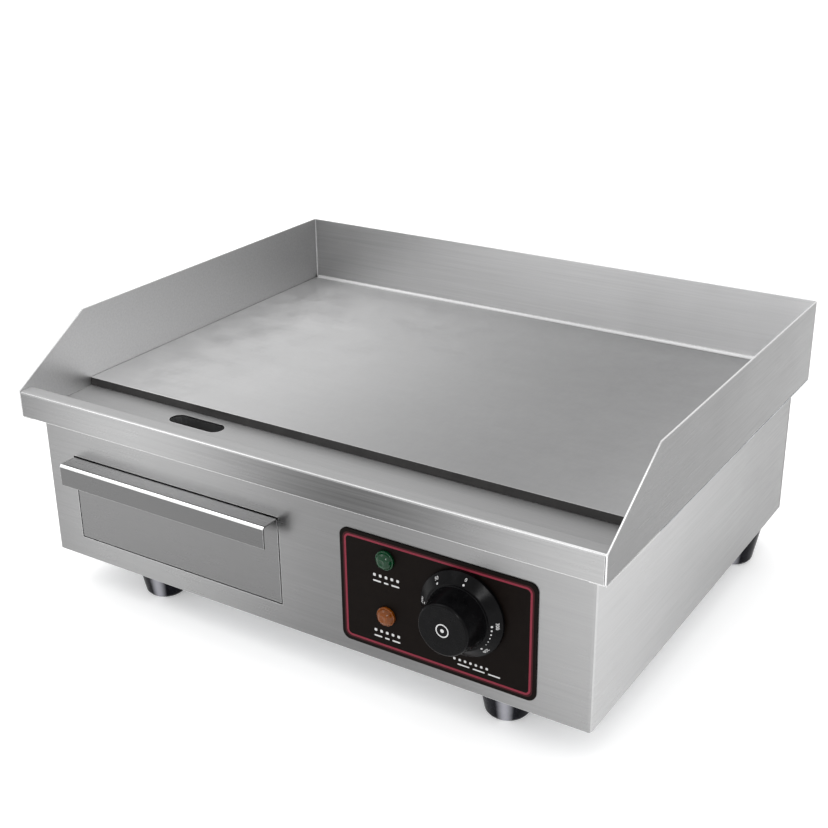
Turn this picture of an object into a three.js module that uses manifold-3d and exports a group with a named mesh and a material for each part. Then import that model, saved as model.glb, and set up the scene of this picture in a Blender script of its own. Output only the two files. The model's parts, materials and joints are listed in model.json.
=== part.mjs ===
// Counter-top electric griddle: a folded steel case on four rubber feet carries a steel cooking plate
// inside a three-sided splash guard. Fat runs forward into a gutter and through a slot into a drip
// drawer. Right is +X, the back is +Y and up is +Z, in millimetres, with the feet standing on z = 0.
import * as THREE from "three";
import { mergeVertices } from "three/addons/utils/BufferGeometryUtils.js";
import Module from "manifold-3d";

const wasm = await Module();
wasm.setup();

// ---------------------------------------------------------------- driving dimensions
const GAP = 0.3; // left between pieces that touch
const SHEET = 1.2; // case, drawer and gutter sheet
const ARC_STEPS = 3; // straight steps in each quarter of a rounded corner
const SPARE = 5; // how far a cutter reaches past the piece it cuts

const FOOT = {
  height: 36,
  topRadius: 24,
  bottomRadius: 18,
  toeRadius: 15.5,
  toeHeight: 3,
  recessRadius: 8,
  recessDepth: 14,
  boreRadius: 3.3,
  front: { x: 175, y: -162 },
  rear: { x: 238, y: 156 },
};

const FOOT_SCREW = { radius: 3, head: 6.5, crown: 5, headHeight: 4, edgeHeight: 2, reach: 8 };

const TRAY = {
  halfWidth: 275,
  halfDepth: 215,
  wall: 1.5,
  cornerRadius: 3,
  skirtBottom: 167,
  guardBottom: 167.2,
  rimTop: 190,
  guardTop: 240,
  slopeRun: 82, // how far back the sloping front corner of each side reaches full height
  rimFlat: 13.5,
  gutterStart: -179.5,
  gutterTop: 166.9,
  gutterEnd: -125,
  tabInner: 262, // the gutter floor's end tabs run from here out under the side walls
};

const PLATE = { front: -133, top: 175.2, bottom: 167.2, cornerRadius: 2.2 };

const BODY = {
  halfWidth: 263,
  front: -201.7,
  flangeRear: 205.5,
  rear: 207,
  bottom: FOOT.height,
  top: 165.4,
  cornerRadius: 3,
  flangeInner: 245,
  upstandHalfWidth: 260,
  upstandTop: 184,
};

const BASE = { sheet: 1.5, margin: 0.8 };
const REAR_VENT = { pitch: 52, perSide: 2, rows: [112, 130], length: 40, width: 6 };
const BASE_VENT = { x: 90, pitch: 40, perSide: 3, rows: [60, 84], length: 24, width: 7 };

const DRAIN = { x: -134.5, y: -149.6, length: 56, width: 17, spoutBottom: 128, spoutFlange: 4 };

const DRAWER = {
  left: -230.5,
  right: -11,
  bottom: 56.5,
  top: 133.5,
  frontSheet: 1.5,
  reveal: 1, // gap between the drawer front and its opening
  handleReach: 17.8,
  lipBottom: 114,
  bendRadius: 3,
  boxInset: 6.5,
  boxBottom: 62,
  boxTop: 124,
  boxRear: 55,
  boxCorner: 4,
};

const RUNNER = { wallGap: 2.3, ledge: 14, bottom: 38.1, top: 80, front: -199.5, rear: 62 };
const BAY_WALL = { x: -5, flange: 12, top: 131, front: -199.5, rear: 200 };

const PANEL = { left: 49.8, right: 219.2, bottom: 46.6, top: 144.6, sheet: 0.8, cornerRadius: 7 };
const PANEL_FACE = BODY.front - GAP - PANEL.sheet;

const KNOB = {
  x: 159,
  z: 104,
  reach: 30.2,
  bore: 17,
  boreRadius: 3.3,
  hubFront: 1.6,
  hubRadius: 6.5,
  hollowDepth: 7,
  hollowRadius: 24,
  wallRadius: 32,
  wallDepth: 3,
  clearance: 1.1,
  skirtRadius: 35,
  skirtEdge: 3.6,
  skirtInner: 27,
  skirtTop: 9.6,
  gripFoot: 25,
  gripRadius: 20.9,
  gripEdge: 1.2,
  faceRadius: 19.8,
};
const SPINDLE = { radius: 3, tip: 16.4, rear: -190, flatDepth: 1.6, flatLength: 10, hole: 5 };
const THERMOSTAT = {
  width: 44,
  height: 38,
  flange: 3,
  halfCase: 17,
  rear: -163,
  screwPitch: 28,
  screwRadius: 1.9,
  screwHead: 3.6,
  screwFace: 3.2,
  screwProud: 2.2,
  screwTail: 9,
};
const TAG = { inner: 4, outer: 12, reach: 8, drop: 10, thickness: 1 }; // the thermostat's two flat tags
const LAMP = {
  x: 91.6,
  upperZ: 127.3,
  lowerZ: 78.8,
  lensRadius: 8,
  lensEdge: 2.6,
  lensShoulder: 4.6,
  lensStep: 0.9,
  lensCrown: 6,
  lensCrownStep: 3,
  lensTop: 6.5,
  barrelRadius: 5.2,
  nutOver: 2.6,
  nutDepth: 3.5,
  tagInner: 2.6,
  tagOuter: 3.2,
  tagReach: 9,
  tagHalf: 2.4,
  rear: -172,
};

const ELEMENT = {
  radius: 4,
  z: PLATE.bottom - GAP - 4,
  firstRun: 54,
  runPitch: 56,
  runs: 4,
  front: -57,
  rear: 147,
  tail: 197,
};
const CLAMP = { halfLength: 240, width: 20, thickness: 2, studX: 138, rows: [-20, 110] };
const CLAMP_TOP = ELEMENT.z - ELEMENT.radius - GAP;
const STUD = { radius: 3, bottom: 148.5, nutHeight: 5, nutAcross: 10 };
const INSULATION = { halfWidth: 254, front: -110, rear: 195, bottom: 134, top: 147.5 };
const SHIELD = { halfWidth: 258.5, front: -114, rear: 199, bottom: 132.4, top: 150 };
const BULB = { radius: 3, front: -62, rear: 80, z: 163.5, capillaryRadius: 0.9, lap: 4 };
const CAPILLARY_ROUTE = [
  [0, -95, BULB.z],
  [4, -122, 157],
  [20, -131, 140],
  [70, -134, 134],
  [130, -136, 137],
  [152, -150, 134],
  [154, -166, 129],
  [154, -174, 124.5],
];
const CLIP = { y: 30, halfWidth: 6, halfSpan: 14, sheet: 1 };

const RAIL = {
  legBottom: 140,
  legFace: 261.5,
  front: TRAY.gutterEnd + 0.5,
  rear: 202.3,
  rearHalfWidth: 255,
  rearSetback: 0.5,
};

const GLAND = {
  x: 200,
  z: 75,
  barrel: 10,
  bore: 5,
  hexAcross: 24,
  hexDepth: 6,
  inner: 190,
  locknutOver: 2,
  locknutDepth: 5,
  domeFoot: 11,
  domeRadius: 11.6,
  domeEase: 1,
  domeGrip: 8,
  domeShoulder: 10.4,
  domeSlope: 5,
  domeMouth: 7.4,
};
const GLAND_END = -(PANEL_FACE - KNOB.reach); // the gland reaches as far back as the knob does forward
const EARTH = { x: -200, z: 75, radius: 3, inner: 196, outer: 224, nutAcross: 10, nutHeight: 5 };
const REAR_SCREW = {
  x: 254,
  low: 52,
  high: 126,
  radius: 1.9,
  head: 3.8,
  headHeight: 2.4,
  edgeHeight: 1.4,
  tail: 9,
};
const BLOCK = {
  x: 150,
  y: 160,
  width: 46,
  depth: 22,
  height: 24,
  pitch: 14,
  rows: 6,
  well: 3.2,
  wellDepth: 9,
};

// ---------------------------------------------------------------- finishes
const FINISH = {
  caseSteel: { color: 0xb0b0b0, roughness: 0.34, metalness: 1 },
  plateSteel: { color: 0x8f9092, roughness: 0.55, metalness: 1 },
  galvanised: { color: 0x9a9fa3, roughness: 0.5, metalness: 0.9 },
  zincScrew: { color: 0xc4c6c8, roughness: 0.3, metalness: 1 },
  elementSteel: { color: 0x55524e, roughness: 0.6, metalness: 0.9 },
  copper: { color: 0xb4704a, roughness: 0.35, metalness: 1 },
  ceramicFibre: { color: 0xe6e2d8, roughness: 0.95, metalness: 0 },
  blackRubber: { color: 0x14141a, roughness: 0.35, metalness: 0 },
  blackPlastic: { color: 0x101011, roughness: 0.3, metalness: 0 },
  panelBlack: { color: 0x1c1815, roughness: 0.45, metalness: 0 },
  paleNylon: { color: 0xd9d5c6, roughness: 0.6, metalness: 0 },
  greenLens: { color: 0x1f7a3a, roughness: 0.12, metalness: 0 },
  amberLens: { color: 0xa85a20, roughness: 0.12, metalness: 0 },
};

const griddle = new THREE.Group();

/** Adds one named piece to the griddle. */
function add(name, geometry, finish) {
  const mesh = new THREE.Mesh(geometry, new THREE.MeshStandardMaterial(finish));
  mesh.name = name;
  griddle.add(mesh);
}

// ---------------------------------------------------------------- joining and cutting
/** Turns a closed geometry into a manifold solid. */
function solidOf(geometry) {
  const bare = new THREE.BufferGeometry();
  bare.setAttribute("position", geometry.getAttribute("position"));
  bare.setIndex(geometry.index);
  const merged = mergeVertices(bare, 1e-3);
  const vertProperties = merged.attributes.position.array;
  const triVerts = new Uint32Array(merged.index.array);
  return new wasm.Manifold(new wasm.Mesh({ numProp: 3, vertProperties, triVerts }));
}

/** Turns a manifold solid back into a geometry. */
function geometryOf(solid) {
  const { vertProperties, triVerts } = solid.getMesh();
  const geometry = new THREE.BufferGeometry();
  geometry.setAttribute("position", new THREE.BufferAttribute(new Float32Array(vertProperties), 3));
  geometry.setIndex([...triVerts]);
  return geometry;
}

/** Takes every tool away from the base piece. */
function cut(base, ...tools) {
  const left = tools.reduce((solid, tool) => solid.subtract(solidOf(tool)), solidOf(base));
  return geometryOf(left);
}

/** Welds pieces that overlap or share a face into one. */
function join(...pieces) {
  const [first, ...others] = pieces.map(solidOf);
  return geometryOf(others.reduce((solid, other) => solid.add(other), first));
}

// ---------------------------------------------------------------- basic forms
/** Box between two corners. */
function box(x0, x1, y0, y1, z0, z1) {
  const size = new THREE.BoxGeometry(x1 - x0, y1 - y0, z1 - z0);
  return size.translate((x0 + x1) / 2, (y0 + y1) / 2, (z0 + z1) / 2);
}

/** Closed outline through a list of [u, v] points. */
function outline(points) {
  return new THREE.Shape(points.map(([u, v]) => new THREE.Vector2(u, v)));
}

/** Rectangle with its own radius at the low-v and the high-v corners. */
function roundedRect(u0, u1, v0, v1, lowRadius, highRadius = lowRadius) {
  const corners = [
    [u1 - highRadius, v1 - highRadius, highRadius, 0],
    [u0 + highRadius, v1 - highRadius, highRadius, 1],
    [u0 + lowRadius, v0 + lowRadius, lowRadius, 2],
    [u1 - lowRadius, v0 + lowRadius, lowRadius, 3],
  ];
  const points = [];
  for (const [u, v, radius, quarter] of corners) {
    const steps = radius > 0 ? ARC_STEPS : 0;
    for (let step = 0; step <= steps; step += 1) {
      const angle = (Math.PI / 2) * (quarter + (steps > 0 ? step / steps : 0));
      points.push([u + radius * Math.cos(angle), v + radius * Math.sin(angle)]);
    }
  }
  return outline(points);
}

/** Slot with half-round ends, long in u. */
function slot(u, v, length, width) {
  const radius = width / 2;
  return roundedRect(u - length / 2, u + length / 2, v - radius, v + radius, radius - 0.01);
}

/** Plan outline in (x, y), raised from z0 to z1. */
function raise(shape, z0, z1) {
  return new THREE.ExtrudeGeometry(shape, { depth: z1 - z0, bevelEnabled: false }).translate(0, 0, z0);
}

/** Section in (y, z), run from x0 to x1. */
function runAlongX(shape, x0, x1) {
  const turn = new THREE.Matrix4().set(0, 0, 1, 0, 1, 0, 0, 0, 0, 1, 0, 0, 0, 0, 0, 1);
  const run = new THREE.ExtrudeGeometry(shape, { depth: x1 - x0, bevelEnabled: false });
  return run.applyMatrix4(turn).translate(x0, 0, 0);
}

/** Section in (x, z), run from y0 to y1. */
function runAlongY(shape, y0, y1) {
  const run = new THREE.ExtrudeGeometry(shape, { depth: y1 - y0, bevelEnabled: false });
  return run.rotateX(Math.PI / 2).translate(0, y1, 0);
}

/** Turned form about the Y axis from [radius, y] points listed anticlockwise. */
function turned(profile, segments) {
  const points = profile.map(([radius, y]) => new THREE.Vector2(radius, y));
  return new THREE.LatheGeometry(points, segments);
}

/** Turned form standing upright at (x, y) from [radius, z] points. */
function turnedUp(profile, segments, x, y) {
  return turned(profile, segments).rotateX(Math.PI / 2).translate(x, y, 0);
}

/** Turned form facing the front: its points are [radius, distance in front of the plane y]. */
function turnedForward(profile, segments, x, y, z) {
  return turned(profile, segments).rotateX(Math.PI).translate(x, y, z);
}

/** Round bar along Y. */
function rodAlongY(radius, x, z, y0, y1, segments = 16) {
  const profile = [[0, y0], [radius, y0], [radius, y1], [0, y1]];
  return turned(profile, segments).translate(x, 0, z);
}

/** Round upright bar. */
function rodUp(radius, x, y, z0, z1, segments = 16) {
  return turnedUp([[0, z0], [radius, z0], [radius, z1], [0, z1]], segments, x, y);
}

/** Six-sided prism along Y, measured across its flats. */
function hexAlongY(across, x, z, y0, y1) {
  return rodAlongY(across / Math.sqrt(3), x, z, y0, y1, 6);
}

/** Round tube along a smooth curve through a list of [x, y, z] points. */
function tube(points, radius, sides, steps) {
  const stops = points.map((point) => new THREE.Vector3(...point));
  const curve = new THREE.CatmullRomCurve3(stops, false, "centripetal");
  const section = [];
  for (let side = 0; side < sides; side += 1) {
    const angle = (2 * Math.PI * side) / sides;
    section.push([radius * Math.cos(angle), radius * Math.sin(angle)]);
  }
  return new THREE.ExtrudeGeometry(outline(section), { steps, extrudePath: curve, bevelEnabled: false });
}

// ---------------------------------------------------------------- splash guard, rim and plate
/** Three-sided wall: left, back and right in one bent sheet, with its front corners sloped off. */
function splashGuard() {
  const { halfWidth: w, halfDepth: d, wall, cornerRadius: r, guardBottom, rimTop, guardTop, slopeRun } = TRAY;
  const inner = roundedRect(-w + wall, w - wall, -d - SPARE, d - wall, 0, r - wall);
  const ring = cut(
    raise(roundedRect(-w, w, -d, d, 0, r), guardBottom, guardTop),
    raise(inner, guardBottom - SPARE, guardTop + SPARE),
  );
  const slope = outline([
    [-d - SPARE, rimTop - (SPARE * (guardTop - rimTop)) / slopeRun],
    [-d + slopeRun, guardTop],
    [-d + slopeRun, guardTop + SPARE],
    [-d - SPARE, guardTop + SPARE],
  ]);
  return cut(ring, runAlongX(slope, -w - SPARE, w + SPARE));
}

/** Front channel: skirt, flat rim, sloping inner face and gutter floor with its drain slot. */
function frontRim() {
  const { halfWidth, halfDepth, wall, skirtBottom, rimTop, rimFlat } = TRAY;
  const { gutterStart, gutterTop, gutterEnd, tabInner } = TRAY;
  const slopeBack = SHEET * Math.tan(Math.PI / 8); // how far a 45 degree bend moves the inside corner
  const section = outline([
    [-halfDepth, skirtBottom],
    [-halfDepth + SHEET, skirtBottom],
    [-halfDepth + SHEET, rimTop - SHEET],
    [-halfDepth + rimFlat - slopeBack, rimTop - SHEET],
    [gutterStart - slopeBack, gutterTop - SHEET],
    [gutterEnd, gutterTop - SHEET],
    [gutterEnd, gutterTop],
    [gutterStart, gutterTop],
    [-halfDepth + rimFlat, rimTop],
    [-halfDepth, rimTop],
  ]);
  const reach = halfWidth - wall - GAP;
  const opening = slot(DRAIN.x, DRAIN.y, DRAIN.length, DRAIN.width);
  const drain = raise(opening, gutterTop - SPARE, gutterTop + SPARE);
  const tabs = [-1, 1].map((side) => {
    const [x0, x1] = side < 0 ? [-halfWidth, -tabInner] : [tabInner, halfWidth];
    return box(x0, x1, -halfDepth + SHEET, gutterEnd, gutterTop - SHEET, gutterTop);
  });
  return cut(join(runAlongX(section, -reach, reach), ...tabs), drain);
}

/** Thick flat cooking plate, its rear corners eased to the guard's bends. */
function cookingPlate() {
  const reach = TRAY.halfWidth - TRAY.wall - GAP;
  const rear = TRAY.halfDepth - TRAY.wall - GAP;
  return raise(roundedRect(-reach, reach, PLATE.front, rear, 0, PLATE.cornerRadius), PLATE.bottom, PLATE.top);
}

/** Angle along one side of the case, under the plate's edge; side is -1 for left and 1 for right. */
function sideRail(side) {
  const top = PLATE.bottom - GAP;
  const inner = RAIL.legFace - SHEET;
  const section = [
    [inner, RAIL.legBottom],
    [RAIL.legFace, RAIL.legBottom],
    [RAIL.legFace, top - SHEET],
    [TRAY.halfWidth, top - SHEET],
    [TRAY.halfWidth, top],
    [inner, top],
  ].map(([x, z]) => [side * x, z]);
  return runAlongY(outline(section), RAIL.front, RAIL.rear);
}

/** Angle along the back of the case, under the plate's rear edge. */
function rearRail() {
  const top = PLATE.bottom - GAP;
  const half = RAIL.rearHalfWidth;
  const legFront = RAIL.rear + RAIL.rearSetback;
  const leg = box(-half, half, legFront, legFront + SHEET, RAIL.legBottom, top);
  const { halfWidth: w, halfDepth: d, cornerRadius: r } = TRAY;
  const flange = raise(roundedRect(-w, w, legFront, d, 0, r), top - SHEET, top);
  return join(leg, flange);
}

/** Short spout under the drain slot, leading the fat down into the drawer. */
function drainSpout() {
  const { x, y, length, width, spoutBottom, spoutFlange } = DRAIN;
  const top = TRAY.gutterTop - SHEET - GAP;
  const wide = 2 * SHEET;
  const spout = join(
    raise(slot(x, y, length + wide, width + wide), spoutBottom, top),
    raise(slot(x, y, length + 2 * spoutFlange, width + 2 * spoutFlange), top - SHEET, top),
  );
  return cut(spout, raise(slot(x, y, length, width), spoutBottom - SPARE, top + SPARE));
}

// ---------------------------------------------------------------- case
/** Front and sides in one bent sheet, with the rear flanges and all front openings. */
function bodyShell() {
  const { halfWidth: w, front, flangeRear, bottom, top, cornerRadius: r, flangeInner } = BODY;
  const wrap = cut(
    raise(roundedRect(-w, w, front, flangeRear, r, 1), bottom, top),
    raise(
      roundedRect(-w + SHEET, w - SHEET, front + SHEET, flangeRear - SHEET, r - SHEET, 0),
      bottom - SPARE,
      top + SPARE,
    ),
    box(-flangeInner, flangeInner, flangeRear - 2 * SHEET, flangeRear + SPARE, bottom - SPARE, top + SPARE),
  );
  const half = BODY.upstandHalfWidth;
  const upstand = box(-half, half, front, front + SHEET, top - SHEET, BODY.upstandTop);
  const through = [front - SPARE, front + SHEET + SPARE];
  const { left, right, bottom: low, top: high, reveal } = DRAWER;
  const holes = [
    box(left - reveal, right + reveal, ...through, low - reveal, high + reveal),
    ...panelHoles(...through),
    ...rearScrewHoles(flangeRear - SPARE, flangeRear + SPARE),
  ];
  return cut(join(wrap, upstand), ...holes);
}

/** Cutters for the spindle, the lamps and the thermostat's screws, between two depths. */
function panelHoles(y0, y1) {
  const half = THERMOSTAT.screwPitch / 2;
  return [
    rodAlongY(SPINDLE.hole, KNOB.x, KNOB.z, y0, y1),
    rodAlongY(LAMP.barrelRadius + GAP, LAMP.x, LAMP.upperZ, y0, y1),
    rodAlongY(LAMP.barrelRadius + GAP, LAMP.x, LAMP.lowerZ, y0, y1),
    rodAlongY(THERMOSTAT.screwRadius + GAP, KNOB.x, KNOB.z - half, y0, y1, 12),
    rodAlongY(THERMOSTAT.screwRadius + GAP, KNOB.x, KNOB.z + half, y0, y1, 12),
  ];
}

/** Cutters for rows of cooling slots; place turns a slot's outline centre into a cutter. */
function ventTools({ x = 0, pitch, perSide, rows, length, width }, place) {
  const tools = [];
  for (const row of rows) {
    for (let column = -perSide; column <= perSide; column += 1) {
      tools.push(place(slot(x + column * pitch, row, length, width)));
    }
  }
  return tools;
}

/** Where the four rear screws sit, as [x, z]. */
function rearScrewPlaces() {
  const { x, low, high } = REAR_SCREW;
  return [[-x, low], [x, low], [-x, high], [x, high]];
}

/** Cutters for the four rear screws, between two depths. */
function rearScrewHoles(y0, y1) {
  return rearScrewPlaces().map(([x, z]) => rodAlongY(REAR_SCREW.radius + GAP, x, z, y0, y1, 12));
}

/** Flat rear cover with two rows of cooling slots and holes for the gland, stud and screws. */
function rearPanel() {
  const { halfWidth: w, flangeRear, rear, bottom, top } = BODY;
  const through = [flangeRear - SPARE, rear + SPARE];
  return cut(
    box(-w, w, flangeRear + GAP, rear, bottom, top),
    ...ventTools(REAR_VENT, (shape) => runAlongY(shape, ...through)),
    rodAlongY(GLAND.barrel + GAP, GLAND.x, GLAND.z, ...through, 20),
    rodAlongY(EARTH.radius + GAP, EARTH.x, EARTH.z, ...through, 12),
    ...rearScrewHoles(...through),
  );
}

/** Where the four feet stand, as [name, x, y]. */
function footPlaces() {
  const { front, rear } = FOOT;
  return [
    ["front_left", -front.x, front.y],
    ["front_right", front.x, front.y],
    ["rear_left", -rear.x, rear.y],
    ["rear_right", rear.x, rear.y],
  ];
}

/** Bottom sheet with cooling slots and a hole over each foot. */
function basePlate() {
  const { halfWidth: w, front, flangeRear, bottom } = BODY;
  const floor = bottom + GAP;
  const edge = SHEET + BASE.margin;
  const through = [bottom - SPARE, bottom + 2 * SPARE];
  return cut(
    box(-w + edge, w - edge, front + edge, flangeRear - SHEET - GAP, floor, floor + BASE.sheet),
    ...ventTools(BASE_VENT, (shape) => raise(shape, ...through)),
    ...footPlaces().map(([, x, y]) => rodUp(FOOT.boreRadius, x, y, ...through, 12)),
  );
}

/** Tapered rubber foot with a recess and bore for its screw. */
function foot(x, y) {
  const { height, topRadius, bottomRadius, toeRadius, toeHeight } = FOOT;
  const { recessRadius, recessDepth, boreRadius } = FOOT;
  const profile = [
    [boreRadius, recessDepth],
    [recessRadius, recessDepth],
    [recessRadius, 0],
    [toeRadius, 0],
    [bottomRadius, toeHeight],
    [topRadius, height],
    [boreRadius, height],
    [boreRadius, recessDepth],
  ];
  return turnedUp(profile, 20, x, y);
}

/** Pan-head screw that holds a foot, standing in the foot's recess. */
function footScrew(x, y) {
  const { radius, head, crown, headHeight, edgeHeight, reach } = FOOT_SCREW;
  const seat = FOOT.recessDepth - GAP;
  const profile = [
    [0, seat - headHeight],
    [crown, seat - headHeight],
    [head, seat - edgeHeight],
    [head, seat],
    [radius, seat],
    [radius, FOOT.height + reach],
    [0, FOOT.height + reach],
  ];
  return turnedUp(profile, 10, x, y);
}

/** Pan-head screw through the rear cover. */
function rearScrew(x, z) {
  const { radius, head, headHeight, edgeHeight, tail } = REAR_SCREW;
  const seat = BODY.rear + GAP;
  const profile = [
    [0, BODY.flangeRear - tail],
    [radius, BODY.flangeRear - tail],
    [radius, seat],
    [head, seat],
    [head, seat + edgeHeight],
    [head - edgeHeight, seat + headHeight],
    [0, seat + headHeight],
  ];
  return turned(profile, 12).translate(x, 0, z);
}

// ---------------------------------------------------------------- drip drawer
/** Drawer front with its top folded out and down into a finger pull. */
function drawerFront() {
  const { left, right, bottom, top, frontSheet: t, handleReach, lipBottom, bendRadius: r } = DRAWER;
  const face = BODY.front;
  const lip = face - handleReach;
  const bend = [];
  const inside = [];
  for (let step = 0; step <= ARC_STEPS; step += 1) {
    const angle = (Math.PI / 2) * (1 + step / ARC_STEPS);
    bend.push([lip + r + r * Math.cos(angle), top - r + r * Math.sin(angle)]);
    inside.unshift([lip + r + (r - t) * Math.cos(angle), top - r + (r - t) * Math.sin(angle)]);
  }
  const section = outline([
    [face + t, bottom],
    [face + t, top],
    ...bend,
    [lip, lipBottom],
    [lip + t, lipBottom],
    ...inside,
    [face, top - t],
    [face, bottom],
  ]);
  return runAlongX(section, left, right);
}

/** Open-topped box that catches the fat. */
function drawerBox() {
  const { left, right, frontSheet, boxInset, boxBottom, boxTop, boxRear, boxCorner: radius } = DRAWER;
  const front = BODY.front + frontSheet + GAP;
  const [x0, x1] = [left + boxInset, right - boxInset];
  const inner = roundedRect(x0 + SHEET, x1 - SHEET, front + SHEET, boxRear - SHEET, radius - SHEET);
  return cut(
    raise(roundedRect(x0, x1, front, boxRear, radius), boxBottom, boxTop),
    raise(inner, boxBottom + SHEET, boxTop + SHEET),
  );
}

/** Angle that one side of the drawer slides on; side is -1 for left and 1 for right. */
function drawerRunner(side) {
  const middle = (DRAWER.left + DRAWER.right) / 2;
  const wall = (DRAWER.right - DRAWER.left) / 2 - DRAWER.boxInset + RUNNER.wallGap;
  const ledgeTop = DRAWER.boxBottom - GAP;
  const section = [
    [wall, RUNNER.bottom],
    [wall + SHEET, RUNNER.bottom],
    [wall + SHEET, RUNNER.top],
    [wall, RUNNER.top],
    [wall, ledgeTop],
    [wall - RUNNER.ledge, ledgeTop],
    [wall - RUNNER.ledge, ledgeTop - SHEET],
    [wall, ledgeTop - SHEET],
  ].map(([x, z]) => [middle + side * x, z]);
  return runAlongY(outline(section), RUNNER.front, RUNNER.rear);
}

/** Wall between the drawer's bay and the electrical side, with a foot flange. */
function bayWall() {
  const { x, flange, top, front, rear } = BAY_WALL;
  const floor = RUNNER.bottom;
  return join(
    box(x, x + SHEET, front, rear, floor, top),
    box(x, x + flange, front, rear, floor, floor + SHEET),
  );
}

// ---------------------------------------------------------------- heating under the plate
/** Bent tubular element under one half of the plate, its two tails to the back. */
function heatingElement(side) {
  const { firstRun, runPitch, runs, front, rear, tail, radius, z } = ELEMENT;
  const bend = runPitch / 2;
  const points = [[side * firstRun, tail, z]];
  for (let run = 0; run < runs; run += 1) {
    const x = firstRun + run * runPitch;
    const forwards = run % 2 === 0;
    const turnY = forwards ? front : rear;
    points.push([side * x, (front + rear) / 2, z]);
    if (run === runs - 1) {
      break;
    }
    for (let step = 0; step <= 4; step += 1) {
      const angle = (Math.PI * step) / 4;
      const reach = bend * Math.sin(angle) * (forwards ? -1 : 1);
      points.push([side * (x + bend - bend * Math.cos(angle)), turnY + reach, z]);
    }
  }
  points.push([side * (firstRun + (runs - 1) * runPitch), tail, z]);
  return tube(points, radius, 6, 64);
}

/** Flat bar that presses the elements up against the plate. */
function clampBar(y) {
  const { halfLength, width, thickness, studX } = CLAMP;
  const low = CLAMP_TOP - thickness;
  return cut(
    box(-halfLength, halfLength, y - width / 2, y + width / 2, low, CLAMP_TOP),
    rodUp(STUD.radius + GAP, -studX, y, low - SPARE, CLAMP_TOP + SPARE, 12),
    rodUp(STUD.radius + GAP, studX, y, low - SPARE, CLAMP_TOP + SPARE, 12),
  );
}

/** Hexagon nut under a clamp bar. */
function clampNut(x, y) {
  const top = CLAMP_TOP - CLAMP.thickness - GAP;
  return cut(
    rodUp(STUD.nutAcross / Math.sqrt(3), x, y, top - STUD.nutHeight, top, 6),
    rodUp(STUD.radius + GAP, x, y, top - STUD.nutHeight - SPARE, top + SPARE, 12),
  );
}

/** Flat board of ceramic fibre under the clamps. */
function insulationBoard() {
  const { halfWidth: w, front, rear, bottom, top } = INSULATION;
  return box(-w, w, front, rear, bottom, top);
}

/** Folded shield that carries the insulation, open at front and back. */
function heatShield() {
  const { halfWidth: w, front, rear, bottom, top } = SHIELD;
  const section = outline([
    [-w, bottom],
    [w, bottom],
    [w, top],
    [w - SHEET, top],
    [w - SHEET, bottom + SHEET],
    [-w + SHEET, bottom + SHEET],
    [-w + SHEET, top],
    [-w, top],
  ]);
  return runAlongY(section, front, rear);
}

/** Sensing bulb under the plate with its thin capillary down to the thermostat. */
function sensorCapillary() {
  const start = [0, BULB.front + BULB.lap, BULB.z];
  const capillary = tube([start, ...CAPILLARY_ROUTE], BULB.capillaryRadius, 6, 44);
  return join(rodAlongY(BULB.radius, 0, BULB.z, BULB.front, BULB.rear, 10), capillary);
}

/** Spring clip that holds the sensing bulb up to the plate. */
function bulbClip() {
  const { y, halfWidth, halfSpan, sheet } = CLIP;
  const depth = [y - halfWidth, y + halfWidth];
  const inner = BULB.radius + GAP;
  const outer = inner + sheet;
  const top = PLATE.bottom - GAP;
  const low = BULB.z - inner;
  return join(
    box(-halfSpan, -inner, ...depth, top - sheet, top),
    box(-outer, -inner, ...depth, low - sheet, top),
    box(-outer, outer, ...depth, low - sheet, low),
    box(inner, outer, ...depth, low - sheet, top),
    box(inner, halfSpan, ...depth, top - sheet, top),
  );
}

// ---------------------------------------------------------------- controls
/** Thin black facia with its rounded corners and holes. */
function controlPanel() {
  const { left, right, bottom, top, sheet, cornerRadius } = PANEL;
  const shape = roundedRect(left, right, bottom, top, cornerRadius);
  const facia = runAlongY(shape, PANEL_FACE, PANEL_FACE + sheet);
  return cut(facia, ...panelHoles(PANEL_FACE - SPARE, PANEL_FACE + SPARE));
}

/** Skirted dial knob, hollow behind, with the hub that grips the spindle. */
function dialKnob() {
  const { reach, bore, boreRadius, clearance, skirtRadius } = KNOB;
  const profile = [
    [0, bore],
    [boreRadius, bore],
    [boreRadius, KNOB.hubFront],
    [KNOB.hubRadius, KNOB.hubFront],
    [KNOB.hubRadius, KNOB.hollowDepth],
    [KNOB.hollowRadius, KNOB.hollowDepth],
    [KNOB.wallRadius, KNOB.wallDepth],
    [KNOB.wallRadius, clearance],
    [skirtRadius, clearance],
    [skirtRadius, KNOB.skirtEdge],
    [KNOB.skirtInner, KNOB.skirtTop],
    [KNOB.gripFoot, KNOB.skirtTop],
    [KNOB.gripRadius, reach - KNOB.gripEdge],
    [KNOB.faceRadius, reach],
    [0, reach],
  ];
  return turnedForward(profile, 36, KNOB.x, PANEL_FACE, KNOB.z);
}

/** Control spindle, with its flat, from inside the thermostat out into the knob. */
function thermostatSpindle() {
  const { radius, tip, rear, flatDepth, flatLength } = SPINDLE;
  const end = PANEL_FACE - tip;
  const { x, z } = KNOB;
  const flat = box(x + flatDepth, x + SPARE, end - SPARE, end + flatLength, z - SPARE, z + SPARE);
  return cut(rodAlongY(radius, KNOB.x, KNOB.z, end, rear, 20), flat);
}

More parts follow.
